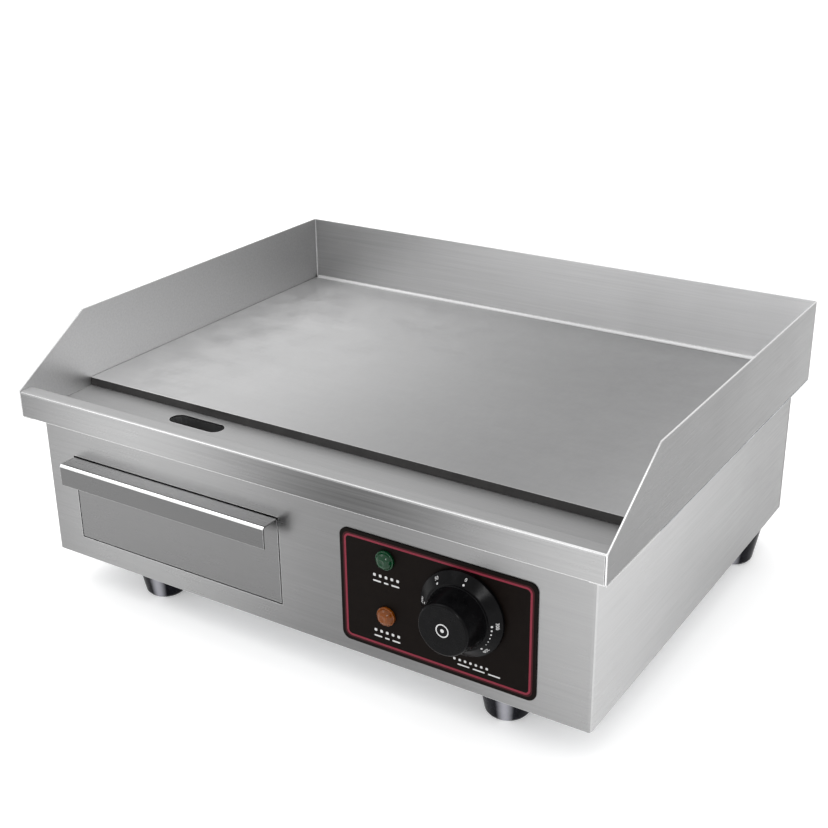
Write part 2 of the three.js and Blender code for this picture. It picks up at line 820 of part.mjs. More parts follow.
/** Thermostat housing behind the facia, bored for the spindle and its screws. */
function thermostatBody() {
  const { width, height, flange, halfCase, rear, screwPitch, screwRadius, screwTail } = THERMOSTAT;
  const { x, z } = KNOB;
  const front = BODY.front + SHEET + GAP;
  const half = screwPitch / 2;
  const tagDepth = [rear - TAG.thickness, rear + TAG.reach];
  const tagHeight = [z - TAG.drop, z - TAG.drop + TAG.thickness];
  return cut(
    join(
      box(x - width / 2, x + width / 2, front, front + flange, z - height / 2, z + height / 2),
      box(x - halfCase, x + halfCase, front + flange / 2, rear, z - halfCase, z + halfCase),
      box(x - TAG.outer, x - TAG.inner, ...tagDepth, ...tagHeight),
      box(x + TAG.inner, x + TAG.outer, ...tagDepth, ...tagHeight),
    ),
    rodAlongY(SPINDLE.radius + GAP, x, z, front - SPARE, SPINDLE.rear + 1, 20),
    rodAlongY(screwRadius + GAP, x, z - half, front - SPARE, front + screwTail, 12),
    rodAlongY(screwRadius + GAP, x, z + half, front - SPARE, front + screwTail, 12),
  );
}

/** Low-head screw that fixes the thermostat through the facia; side is -1 for low and 1 for high. */
function thermostatScrew(side) {
  const { screwPitch, screwRadius, screwHead, screwFace, screwProud, screwTail } = THERMOSTAT;
  const profile = [
    [0, -screwTail],
    [screwRadius, -screwTail],
    [screwRadius, GAP],
    [screwHead, GAP],
    [screwFace, screwProud],
    [0, screwProud],
  ];
  const z = KNOB.z + (side * screwPitch) / 2;
  return turnedForward(profile, 12, KNOB.x, PANEL_FACE, z);
}

/** Domed pilot-lamp lens standing on the facia. */
function lampLens(z) {
  const r = LAMP.lensRadius;
  const profile = [
    [0, GAP],
    [r, GAP],
    [r, LAMP.lensEdge],
    [r - LAMP.lensStep, LAMP.lensShoulder],
    [r - LAMP.lensCrownStep, LAMP.lensCrown],
    [0, LAMP.lensTop],
  ];
  return turnedForward(profile, 20, LAMP.x, PANEL_FACE, z);
}

/** Barrel of a pilot lamp with its spring nut behind the panel and two tags. */
function lampBody(z) {
  const { x, barrelRadius, nutOver, nutDepth, tagInner, tagOuter, tagReach, tagHalf, rear } = LAMP;
  const back = BODY.front + SHEET + GAP;
  const tag = [rear - 1, rear + tagReach, z - tagHalf, z + tagHalf];
  return join(
    rodAlongY(barrelRadius, x, z, PANEL_FACE, rear, 16),
    rodAlongY(barrelRadius + nutOver, x, z, back, back + nutDepth, 16),
    box(x - tagOuter, x - tagInner, ...tag),
    box(x + tagInner, x + tagOuter, ...tag),
  );
}

// ---------------------------------------------------------------- supply at the back
/** Threaded gland body: hexagon outside the cover and barrel through it. */
function glandBody() {
  const seat = BODY.rear + GAP;
  return cut(
    join(
      hexAlongY(GLAND.hexAcross, GLAND.x, GLAND.z, seat, seat + GLAND.hexDepth),
      rodAlongY(GLAND.barrel, GLAND.x, GLAND.z, GLAND.inner, seat + GLAND.hexDepth / 2, 20),
    ),
    rodAlongY(GLAND.bore, GLAND.x, GLAND.z, GLAND.inner - SPARE, seat + GLAND.hexDepth + SPARE, 16),
  );
}

/** Domed nut on the gland's outer end. */
function glandDome() {
  const { bore, domeFoot, domeRadius, domeEase, domeGrip, domeShoulder, domeSlope, domeMouth } = GLAND;
  const seat = BODY.rear + 2 * GAP + GLAND.hexDepth;
  const profile = [
    [bore, seat],
    [domeFoot, seat],
    [domeRadius, seat + domeEase],
    [domeRadius, seat + domeGrip],
    [domeShoulder, GLAND_END - domeSlope],
    [domeMouth, GLAND_END],
    [bore, GLAND_END],
    [bore, seat],
  ];
  return turned(profile, 20).translate(GLAND.x, 0, GLAND.z);
}

/** Locknut on the gland's barrel inside the cover. */
function glandLocknut() {
  const face = BODY.flangeRear;
  return cut(
    hexAlongY(GLAND.hexAcross + GLAND.locknutOver, GLAND.x, GLAND.z, face - GLAND.locknutDepth, face),
    rodAlongY(GLAND.barrel + GAP, GLAND.x, GLAND.z, face - 2 * SPARE, face + SPARE, 20),
  );
}

/** Nut that clamps the bonding stud to the cover. */
function earthNut() {
  const seat = BODY.rear + GAP;
  return cut(
    hexAlongY(EARTH.nutAcross, EARTH.x, EARTH.z, seat, seat + EARTH.nutHeight),
    rodAlongY(EARTH.radius + GAP, EARTH.x, EARTH.z, seat - SPARE, seat + EARTH.nutHeight + SPARE, 12),
  );
}

/** Three-way terminal block with its screw wells. */
function terminalBlock() {
  const { x, y, width, depth, height, pitch, rows, well, wellDepth } = BLOCK;
  const floor = RUNNER.bottom;
  const top = floor + height;
  const wells = [-1, 0, 1].flatMap((way) =>
    [-rows, rows].map((row) => rodUp(well, x + way * pitch, y + row, top - wellDepth, top + SPARE, 12)),
  );
  return cut(box(x - width / 2, x + width / 2, y - depth / 2, y + depth / 2, floor, top), ...wells);
}

// ---------------------------------------------------------------- assembly
add("splash_guard", splashGuard(), FINISH.caseSteel);
add("front_rim", frontRim(), FINISH.caseSteel);
add("cooking_plate", cookingPlate(), FINISH.plateSteel);
add("plate_rail_left", sideRail(-1), FINISH.galvanised);
add("plate_rail_right", sideRail(1), FINISH.galvanised);
add("plate_rail_rear", rearRail(), FINISH.galvanised);
add("drain_spout", drainSpout(), FINISH.caseSteel);

add("body_shell", bodyShell(), FINISH.caseSteel);
add("rear_panel", rearPanel(), FINISH.caseSteel);
add("base_plate", basePlate(), FINISH.galvanised);
for (const [place, x, y] of footPlaces()) {
  add(`foot_${place}`, foot(x, y), FINISH.blackRubber);
  add(`foot_screw_${place}`, footScrew(x, y), FINISH.zincScrew);
}
rearScrewPlaces().forEach(([x, z], index) => {
  add(`rear_screw_${index + 1}`, rearScrew(x, z), FINISH.zincScrew);
});

add("drawer_front", drawerFront(), FINISH.caseSteel);
add("drawer_box", drawerBox(), FINISH.caseSteel);
add("drawer_runner_left", drawerRunner(-1), FINISH.galvanised);
add("drawer_runner_right", drawerRunner(1), FINISH.galvanised);
add("drawer_bay_wall", bayWall(), FINISH.galvanised);

add("heating_element_left", heatingElement(-1), FINISH.elementSteel);
add("heating_element_right", heatingElement(1), FINISH.elementSteel);
CLAMP.rows.forEach((y, row) => {
  const place = row === 0 ? "front" : "rear";
  add(`clamp_bar_${place}`, clampBar(y), FINISH.galvanised);
  for (const [hand, x] of [["left", -CLAMP.studX], ["right", CLAMP.studX]]) {
    const stud = rodUp(STUD.radius, x, y, STUD.bottom, PLATE.bottom - GAP, 12);
    add(`clamp_stud_${place}_${hand}`, stud, FINISH.zincScrew);
    add(`clamp_nut_${place}_${hand}`, clampNut(x, y), FINISH.zincScrew);
  }
});
add("insulation_board", insulationBoard(), FINISH.ceramicFibre);
add("heat_shield", heatShield(), FINISH.galvanised);
add("sensor_capillary", sensorCapillary(), FINISH.copper);
add("sensor_clip", bulbClip(), FINISH.galvanised);

add("control_panel", controlPanel(), FINISH.panelBlack);
add("dial_knob", dialKnob(), FINISH.blackPlastic);
add("thermostat_spindle", thermostatSpindle(), FINISH.zincScrew);
add("thermostat_body", thermostatBody(), FINISH.paleNylon);
add("thermostat_screw_low", thermostatScrew(-1), FINISH.zincScrew);
add("thermostat_screw_high", thermostatScrew(1), FINISH.zincScrew);
add("lamp_lens_green", lampLens(LAMP.upperZ), FINISH.greenLens);
add("lamp_lens_amber", lampLens(LAMP.lowerZ), FINISH.amberLens);
add("lamp_body_green", lampBody(LAMP.upperZ), FINISH.paleNylon);
add("lamp_body_amber", lampBody(LAMP.lowerZ), FINISH.paleNylon);

add("gland_body", glandBody(), FINISH.blackPlastic);
add("gland_dome", glandDome(), FINISH.blackPlastic);
add("gland_locknut", glandLocknut(), FINISH.blackPlastic);
add("earth_stud", rodAlongY(EARTH.radius, EARTH.x, EARTH.z, EARTH.inner, EARTH.outer, 12), FINISH.zincScrew);
add("earth_nut", earthNut(), FINISH.zincScrew);
add("terminal_block", terminalBlock(), FINISH.paleNylon);

export default griddle;
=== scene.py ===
"""Counter-top electric griddle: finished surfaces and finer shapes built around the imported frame.

Every length is in metres in the frame's own axes: right is +X, the back is +Y and up is +Z.
"""

import json
import logging
import math
from collections.abc import Callable, Sequence
from dataclasses import dataclass, field
from enum import Enum

import bmesh
import bpy
from mathutils import Matrix, Vector

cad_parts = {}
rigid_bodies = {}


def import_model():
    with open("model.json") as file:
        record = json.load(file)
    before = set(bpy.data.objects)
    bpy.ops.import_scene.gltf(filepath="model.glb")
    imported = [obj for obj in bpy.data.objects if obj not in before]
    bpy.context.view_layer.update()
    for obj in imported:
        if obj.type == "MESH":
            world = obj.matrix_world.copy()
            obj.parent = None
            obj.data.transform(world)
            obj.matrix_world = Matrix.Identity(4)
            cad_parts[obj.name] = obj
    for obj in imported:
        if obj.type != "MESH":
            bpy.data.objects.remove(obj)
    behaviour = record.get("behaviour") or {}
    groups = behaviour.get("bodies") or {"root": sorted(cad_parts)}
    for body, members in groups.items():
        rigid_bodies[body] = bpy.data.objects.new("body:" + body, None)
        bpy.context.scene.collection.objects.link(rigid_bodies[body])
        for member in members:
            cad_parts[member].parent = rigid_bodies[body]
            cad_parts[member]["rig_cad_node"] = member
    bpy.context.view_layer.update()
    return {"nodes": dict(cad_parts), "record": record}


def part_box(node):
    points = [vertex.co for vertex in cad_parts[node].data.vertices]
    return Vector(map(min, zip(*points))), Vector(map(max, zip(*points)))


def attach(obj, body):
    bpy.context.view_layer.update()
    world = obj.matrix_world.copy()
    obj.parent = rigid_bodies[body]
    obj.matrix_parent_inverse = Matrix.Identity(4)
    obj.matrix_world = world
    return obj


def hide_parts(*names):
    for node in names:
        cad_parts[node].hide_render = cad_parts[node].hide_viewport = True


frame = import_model()

MM = 0.001
CLEARANCE = 0.3 * MM
TOOL_REACH = 5 * MM
SCREW_HOLE = 2.2 * MM
CONTROL_HOLES = {
    "thermostat_spindle": 5.0 * MM,
    "lamp_body_green": 5.5 * MM,
    "lamp_body_amber": 5.5 * MM,
    "thermostat_screw_low": SCREW_HOLE,
    "thermostat_screw_high": SCREW_HOLE,
}
FOOT_PLACES = ("front_left", "front_right", "rear_left", "rear_right")
FRONT = Vector((0, -1, 0))
BACK = Vector((0, 1, 0))
UP = Vector((0, 0, 1))
LOG = logging.getLogger("griddle")


class Body(Enum):
    """The frame's moving bodies."""

    CHASSIS = "chassis"
    DRAWER = "drawer"
    DIAL = "dial"


class Slot(Enum):
    """The record's material slots."""

    CASE = "case_steel"
    PLATE = "plate_steel"
    GALVANISED = "galvanised"
    ZINC = "zinc_screw"
    ELEMENT = "element_steel"
    COPPER = "copper"
    CERAMIC = "ceramic_fibre"
    RUBBER = "black_rubber"
    PLASTIC = "black_plastic"
    PANEL = "panel_black"
    NYLON = "pale_nylon"
    GREEN = "green_lens"
    AMBER = "amber_lens"


class Element(Enum):
    """What an edit-mode selection holds."""

    EDGE = "EDGE"
    FACE = "FACE"


class Grain(Enum):
    """How a polishing grain is stretched: few repeats along the grain and many across it."""

    ALONG_X = (7.0, 520.0, 520.0)
    ALONG_Y = (520.0, 7.0, 520.0)
    NONE = (160.0, 160.0, 160.0)


# ---------------------------------------------------------------- modelling steps
def clear_selection() -> None:
    """Deselect every object."""
    bpy.ops.object.select_all(action="DESELECT")


def make_active(piece: bpy.types.Object) -> None:
    """Select one object alone and make it the active one."""
    clear_selection()
    piece.select_set(True)
    bpy.context.view_layer.objects.active = piece


def settle(piece: bpy.types.Object) -> None:
    """Move an object's place, turn and scale into its mesh."""
    make_active(piece)
    bpy.ops.object.transform_apply(location=True, rotation=True, scale=True)


def start_block(name: str, low: Sequence[float], high: Sequence[float]) -> bpy.types.Object:
    """Add a cube that fills the space between two corners.

    Args:
        name: The new piece's name.
        low: Lowest corner.
        high: Highest corner.

    Returns:
        The new piece, with its place in its mesh.
    """
    clear_selection()
    first, second = Vector(low), Vector(high)
    bpy.ops.mesh.primitive_cube_add(size=1, location=(first + second) / 2)
    block = bpy.context.object
    block.name = name
    block.scale = second - first
    settle(block)
    return block


def start_panel(name: str, corner: Vector, along: Vector, run: Vector) -> bpy.types.Object:
    """Add a plane as the first flat of a folded sheet.

    Args:
        name: The new piece's name.
        corner: The flat's first corner.
        along: Its side from that corner towards the first bend.
        run: Its side along the bends.

    Returns:
        The new piece, with its place in its mesh.
    """
    clear_selection()
    axes = Matrix((along.normalized(), run.normalized(), along.cross(run).normalized()))
    centre = corner + (along + run) / 2
    bpy.ops.mesh.primitive_plane_add(size=1, location=centre, rotation=axes.transposed().to_euler())
    panel = bpy.context.object
    panel.name = name
    panel.scale = (along.length, run.length, 1)
    settle(panel)
    return panel


def start_rod(name: str, radius: float, start: Vector, end: Vector, sides: int = 32) -> bpy.types.Object:
    """Add a round bar between two points.

    Args:
        name: The new piece's name.
        radius: The bar's radius.
        start: Centre of one end.
        end: Centre of the other end.
        sides: Number of flats round the bar.

    Returns:
        The new piece, with its place in its mesh.
    """
    clear_selection()
    axis = end - start
    turn = axis.to_track_quat("Z", "Y").to_euler()
    middle = (start + end) / 2
    bpy.ops.mesh.primitive_cylinder_add(
        vertices=sides, radius=radius, depth=axis.length, location=middle, rotation=turn
    )
    rod = bpy.context.object
    rod.name = name
    settle(rod)
    return rod


def choose(element: Element, wanted: Callable[[Vector, Vector], bool]) -> None:
    """Select, in edit mode, only the elements that pass a test.

    Args:
        element: The kind of element to select.
        wanted: Given a face's centre and normal, or an edge's centre and direction, says if it is wanted.
    """
    bpy.ops.mesh.select_mode(type=element.value)
    bpy.ops.mesh.select_all(action="DESELECT")
    mesh = bpy.context.edit_object.data
    shape = bmesh.from_edit_mesh(mesh)
    if element is Element.FACE:
        found = [(face, face.calc_center_median(), face.normal) for face in shape.faces]
    else:
        ends = [(edge, edge.verts[0].co, edge.verts[1].co) for edge in shape.edges]
        found = [(edge, (start + end) / 2, (end - start).normalized()) for edge, start, end in ends]
    for item, centre, direction in found:
        if wanted(centre, direction):
            item.select_set(True)
    shape.select_flush_mode()
    bmesh.update_edit_mesh(mesh)


def near(first: Vector, second: Vector, reach: float = 0.02 * MM) -> bool:
    """True where two points lie within a small reach of each other."""
    return (first - second).length < reach


def edit(piece: bpy.types.Object) -> None:
    """Open one object in edit mode."""
    make_active(piece)
    bpy.ops.object.mode_set(mode="EDIT")


def leave_edit() -> None:
    """Go back to object mode."""
    bpy.ops.object.mode_set(mode="OBJECT")


def apply_modifier(piece: bpy.types.Object, kind: str, **settings: object) -> None:
    """Add a modifier, set it and apply it."""
    make_active(piece)
    modifier = piece.modifiers.new(kind.lower(), kind)
    for name, value in settings.items():
        setattr(modifier, name, value)
    bpy.ops.object.modifier_apply(modifier=modifier.name)


def thicken(piece: bpy.types.Object, thickness: float, inside: int = 0, rim: int = 0) -> None:
    """Give a sheet its thickness, behind the faces that it shows.

    Args:
        piece: The open sheet.
        thickness: Its gauge.
        inside: Which of its materials the new side wears.
        rim: Which of its materials its cut edges wear.
    """
    apply_modifier(
        piece,
        "SOLIDIFY",
        thickness=thickness,
        offset=-1.0,
        use_even_offset=True,
        material_offset=inside,
        material_offset_rim=rim,
    )


def ease_edges(piece: bpy.types.Object, width: float, segments: int = 2, angle: float = 38.0) -> None:
    """Round a piece's sharp edges and shade its flats flat.

    Args:
        piece: The piece to finish.
        width: How far the rounding reaches from an edge.
        segments: Steps in the rounding.
        angle: The sharpest turn, in degrees, that is left as it is.
    """
    apply_modifier(
        piece,
        "BEVEL",
        width=width,
        segments=segments,
        limit_method="ANGLE",
        angle_limit=math.radians(angle),
        miter_outer="MITER_ARC",
        use_clamp_overlap=True,
    )
    shade_flats(piece)


def shade_flats(piece: bpy.types.Object, angle: float = 50.0) -> None:
    """Shade a piece smooth over its roundings while its large flats stay flat."""
    make_active(piece)
    bpy.ops.object.shade_smooth_by_angle(angle=math.radians(angle))
    apply_modifier(piece, "WEIGHTED_NORMAL", mode="FACE_AREA", weight=100, keep_sharp=True)


def cut(piece: bpy.types.Object, *tools: bpy.types.Object, operation: str = "DIFFERENCE") -> None:
    """Cut a piece with tools, or weld them to it, and remove the tools."""
    for tool in tools:
        apply_modifier(piece, "BOOLEAN", object=tool, operation=operation, solver="EXACT")
        bpy.data.objects.remove(tool)


def fold_sheet(
    name: str,
    corners: Sequence[Vector],
    run: Vector,
    outward: Vector,
    radii: dict[int, float],
    bend_steps: int = 6,
) -> bpy.types.Object:
    """Fold a strip of sheet round a line of corners, as one open surface.

    Args:
        name: The new piece's name.
        corners: The section's corners on the sheet's outer side.
        run: The strip's width, along its bends.
        outward: The way that the first flat's outer side faces.
        radii: Outer radius of the bend at each corner that has one.
        bend_steps: Steps in each bend.

    Returns:
        The open sheet, still without thickness.
    """
    sheet = start_panel(name, corners[0], corners[1] - corners[0], run)
    edit(sheet)
    for before, after in zip(corners[1:], corners[2:]):
        choose(Element.EDGE, lambda centre, _, at=before + run / 2: near(centre, at))
        bpy.ops.mesh.extrude_region_move(TRANSFORM_OT_translate={"value": after - before})
    bpy.ops.mesh.select_all(action="SELECT")
    first_centre = (corners[0] + corners[1] + run) / 2
    shape = bmesh.from_edit_mesh(sheet.data)
    first = min(shape.faces, key=lambda face: (face.calc_center_median() - first_centre).length)
    bpy.ops.mesh.normals_make_consistent(inside=False)
    if first.normal.dot(outward) < 0:
        bpy.ops.mesh.flip_normals()
    for index, radius in radii.items():
        before = corners[index] - corners[index - 1]
        after = corners[index + 1] - corners[index]
        reach = radius * math.tan(before.angle(after) / 2)
        choose(Element.EDGE, lambda centre, _, at=corners[index] + run / 2: near(centre, at))
        bpy.ops.mesh.bevel(offset=reach, offset_type="OFFSET", segments=bend_steps, affect="EDGES")
    leave_edit()
    return sheet


def round_corners(piece: bpy.types.Object, axis: Vector, radius: float, steps: int = 8) -> None:
    """Round the edges of a block that run along one axis.

    Args:
        piece: The block.
        axis: The way that the rounded edges run.
        radius: Their radius.
        steps: Steps in each corner.
    """
    edit(piece)
    choose(Element.EDGE, lambda _, direction: abs(direction.dot(axis)) > 0.99)
    bpy.ops.mesh.bevel(offset=radius, offset_type="OFFSET", segments=steps, affect="EDGES")
    leave_edit()


def slot_tool(centre: Vector, size: Vector, through: Vector, steps: int = 8) -> bpy.types.Object:
    """Make the cutter for a slot with half-round ends.

    Args:
        centre: Middle of the slot.
        size: The cutter's size along each axis.
        through: The axis that the slot goes through along.
        steps: Steps in each quarter of its ends.

    Returns:
        The cutter.
    """
    tool = start_block("slot_tool", centre - size / 2, centre + size / 2)
    across = min(length for length, unit in zip(size, through) if abs(unit) < 0.5)
    round_corners(tool, through, across * 0.4999, steps)
    return tool


def spin_profile(
    name: str, points: Sequence[tuple[float, float]], centre: Vector, axis: Vector, steps: int = 48
) -> bpy.types.Object:
    """Turn a profile about an axis into a closed piece.

    Args:
        name: The new piece's name.
        points: The profile as (radius, distance along the axis), from the axis or back to its start.
        centre: Where the distances are measured from.
        axis: The way that the distances run.
        steps: Steps in the full turn.

    Returns:
        The new piece, its normals facing out.
    """
    clear_selection()
    side = axis.orthogonal().normalized()
    places = [centre + side * radius + axis * reach for radius, reach in points]
    bpy.ops.mesh.primitive_plane_add(size=MM, location=places[0])
    piece = bpy.context.object
    piece.name = name
    settle(piece)
    edit(piece)
    bpy.ops.mesh.merge(type="CENTER")
    bpy.ops.mesh.select_mode(type="VERT")
    bpy.ops.mesh.select_all(action="SELECT")
    for before, after in zip(places, places[1:]):
        bpy.ops.mesh.extrude_region_move(TRANSFORM_OT_translate={"value": after - before})
    bpy.ops.mesh.select_all(action="SELECT")
    bpy.ops.mesh.spin(steps=steps, angle=math.tau, center=centre, axis=axis)
    bpy.ops.mesh.select_all(action="SELECT")
    bpy.ops.mesh.remove_doubles(threshold=0.002 * MM)
    bpy.ops.mesh.normals_make_consistent(inside=False)
    leave_edit()
    return piece


def copy_of(piece: bpy.types.Object, name: str, move: Vector) -> bpy.types.Object:
    """Copy a finished piece with a mesh of its own."""
    twin = piece.copy()
    twin.data = piece.data.copy()
    twin.name = name
    twin.data.transform(Matrix.Translation(move))
    bpy.context.scene.collection.objects.link(twin)
    return twin


def weld(name: str, pieces: Sequence[bpy.types.Object]) -> bpy.types.Object:
    """Join several shapes into one object.

    Args:
        name: The joined object's name.
        pieces: The shapes, all with their place in their mesh.

    Returns:
        The joined object.
    """
    clear_selection()
    for piece in pieces:
        piece.select_set(True)
    bpy.context.view_layer.objects.active = pieces[0]
    bpy.ops.object.join()
    joined = bpy.context.object
    joined.name = name
    return joined


def on_axis(node: str, depth: float) -> Vector:
    """Find the point at one depth on the front-to-back axis through a node's middle."""
    low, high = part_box(node)
    return Vector(((low.x + high.x) / 2, depth, (low.z + high.z) / 2))


def hole_tool(node: str, radius: float, face: float) -> bpy.types.Object:
    """Make the cutter for a round hole in line with a node."""
    start = on_axis(node, face - TOOL_REACH)
    return start_rod("hole_tool", radius, start, start + 2 * TOOL_REACH * BACK)


def control_tools(face: float) -> list[bpy.types.Object]:
    """Make the cutters for the spindle, the lamps and the thermostat's screws."""
    return [hole_tool(node, radius, face) for node, radius in CONTROL_HOLES.items()]


def fit(piece: bpy.types.Object, body: Body, slot: Slot, *nodes: str) -> bpy.types.Object:
    """Mount a finished piece on a body, in the place of the frame's nodes.

    Args:
        piece: The finished piece.
        body: The body that it moves with.
        slot: The record's slot for its finish; not used.
        nodes: The frame's nodes that it stands for.

    Returns:
        The piece.
    """
    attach(piece, body.value)
    if nodes:
        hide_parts(*nodes)
    LOG.info("%s rides on %s, %d faces", piece.name, body.value, len(piece.data.polygons))
    return piece


# ---------------------------------------------------------------- shader building
Socket = bpy.types.NodeSocket


class Board:
    """A node tree with short ways to add and join its nodes."""

    def __init__(self, tree: bpy.types.NodeTree) -> None:
        """Keep the tree."""
        self.tree = tree

    def add(self, kind: str, **settings: object) -> bpy.types.Node:
        """Add a node."""
        node = self.tree.nodes.new("ShaderNode" + kind)
        for name, value in settings.items():
            setattr(node, name, value)
        return node

    def feed(self, socket: Socket, value: object) -> None:
        """Join a socket to another one, or set its value."""
        if isinstance(value, bpy.types.NodeSocket):
            self.tree.links.new(value, socket)
        else:
            socket.default_value = value

    def maths(self, operation: str, first: object, second: object = 0.0, clamp: bool = False) -> Socket:
        """Add a maths node.

        Args:
            operation: What it works out.
            first: Its first input.
            second: Its second input.
            clamp: True to hold the result between 0 and 1.

        Returns:
            Its result.
        """
        node = self.add("Math", operation=operation, use_clamp=clamp)
        self.feed(node.inputs[0], first)
        self.feed(node.inputs[1], second)
        return node.outputs[0]

    def spread(self, value: object, low: float, high: float, start: float = 0.0, end: float = 1.0) -> Socket:
        """Map a value from one range to another, held inside it.

        Args:
            value: The value to map.
            low: Result at the start.
            high: Result at the end.
            start: Where the value's range starts.
            end: Where it ends.

        Returns:
            The mapped value.
        """
        node = self.add("MapRange")
        for name, number in (("From Min", start), ("From Max", end), ("To Min", low), ("To Max", high)):
            node.inputs[name].default_value = number
        self.feed(node.inputs["Value"], value)
        return node.outputs["Result"]

    def blend(self, share: object, first: object, second: object) -> Socket:
        """Mix two colours."""
        node = self.add("Mix", data_type="RGBA")
        self.feed(node.inputs[0], share)
        for socket, colour in ((node.inputs[6], first), (node.inputs[7], second)):
            self.feed(socket, (*colour, 1.0) if isinstance(colour, tuple) else colour)
        return node.outputs[2]

    def noise(self, vector: object, scale: float, detail: float = 4.0, rough: float = 0.55) -> Socket:
        """Add a noise texture.

        Args:
            vector: Where it is read.
            scale: Repeats in a metre.
            detail: Its octaves.
            rough: How strong the finer octaves are.

        Returns:
            The noise, about 0 to 1.
        """
        node = self.add("TexNoise")
        self.feed(node.inputs["Vector"], vector)
        self.feed(node.inputs["Scale"], scale)
        node.inputs["Detail"].default_value = detail
        node.inputs["Roughness"].default_value = rough
        return node.outputs["Fac"]

    def vectors(self, operation: str, first: object, second: object = (0.0, 0.0, 0.0)) -> Socket:
        """Add a vector maths node and give its result, which is a number for a dot product."""
        node = self.add("VectorMath", operation=operation)
        self.feed(node.inputs[0], first)
        self.feed(node.inputs[1], second)
        return node.outputs["Value" if operation == "DOT_PRODUCT" else "Vector"]

    def place(self) -> Socket:
        """Read the piece's own coordinates."""
        return self.add("TexCoord").outputs["Object"]

    def stretched(self, scale: Socket) -> Socket:
        """Read the piece's own coordinates, scaled along each axis."""
        mapped = self.add("Mapping")
        self.feed(mapped.inputs["Vector"], self.place())
        self.feed(mapped.inputs["Scale"], scale)
        return mapped.outputs["Vector"]


def start_group(
    name: str, inputs: dict[str, object], outputs: Sequence[str]
) -> tuple[bpy.types.NodeTree, Board, bpy.types.Node, bpy.types.Node]:
    """Start a shader node group with named sockets.

    Args:
        name: The group's name.
        inputs: Default value of each input; three numbers make a vector.
        outputs: Names of its value outputs.

    Returns:
        The group, a board on it, its input node and its output node.
    """
    tree = bpy.data.node_groups.new(name, "ShaderNodeTree")
    for label, value in inputs.items():
        kind = "NodeSocketFloat" if isinstance(value, float) else "NodeSocketVector"
        socket = tree.interface.new_socket(name=label, in_out="INPUT", socket_type=kind)
        socket.default_value = value
    for label in outputs:
        tree.interface.new_socket(name=label, in_out="OUTPUT", socket_type="NodeSocketFloat")
    return tree, Board(tree), tree.nodes.new("NodeGroupInput"), tree.nodes.new("NodeGroupOutput")


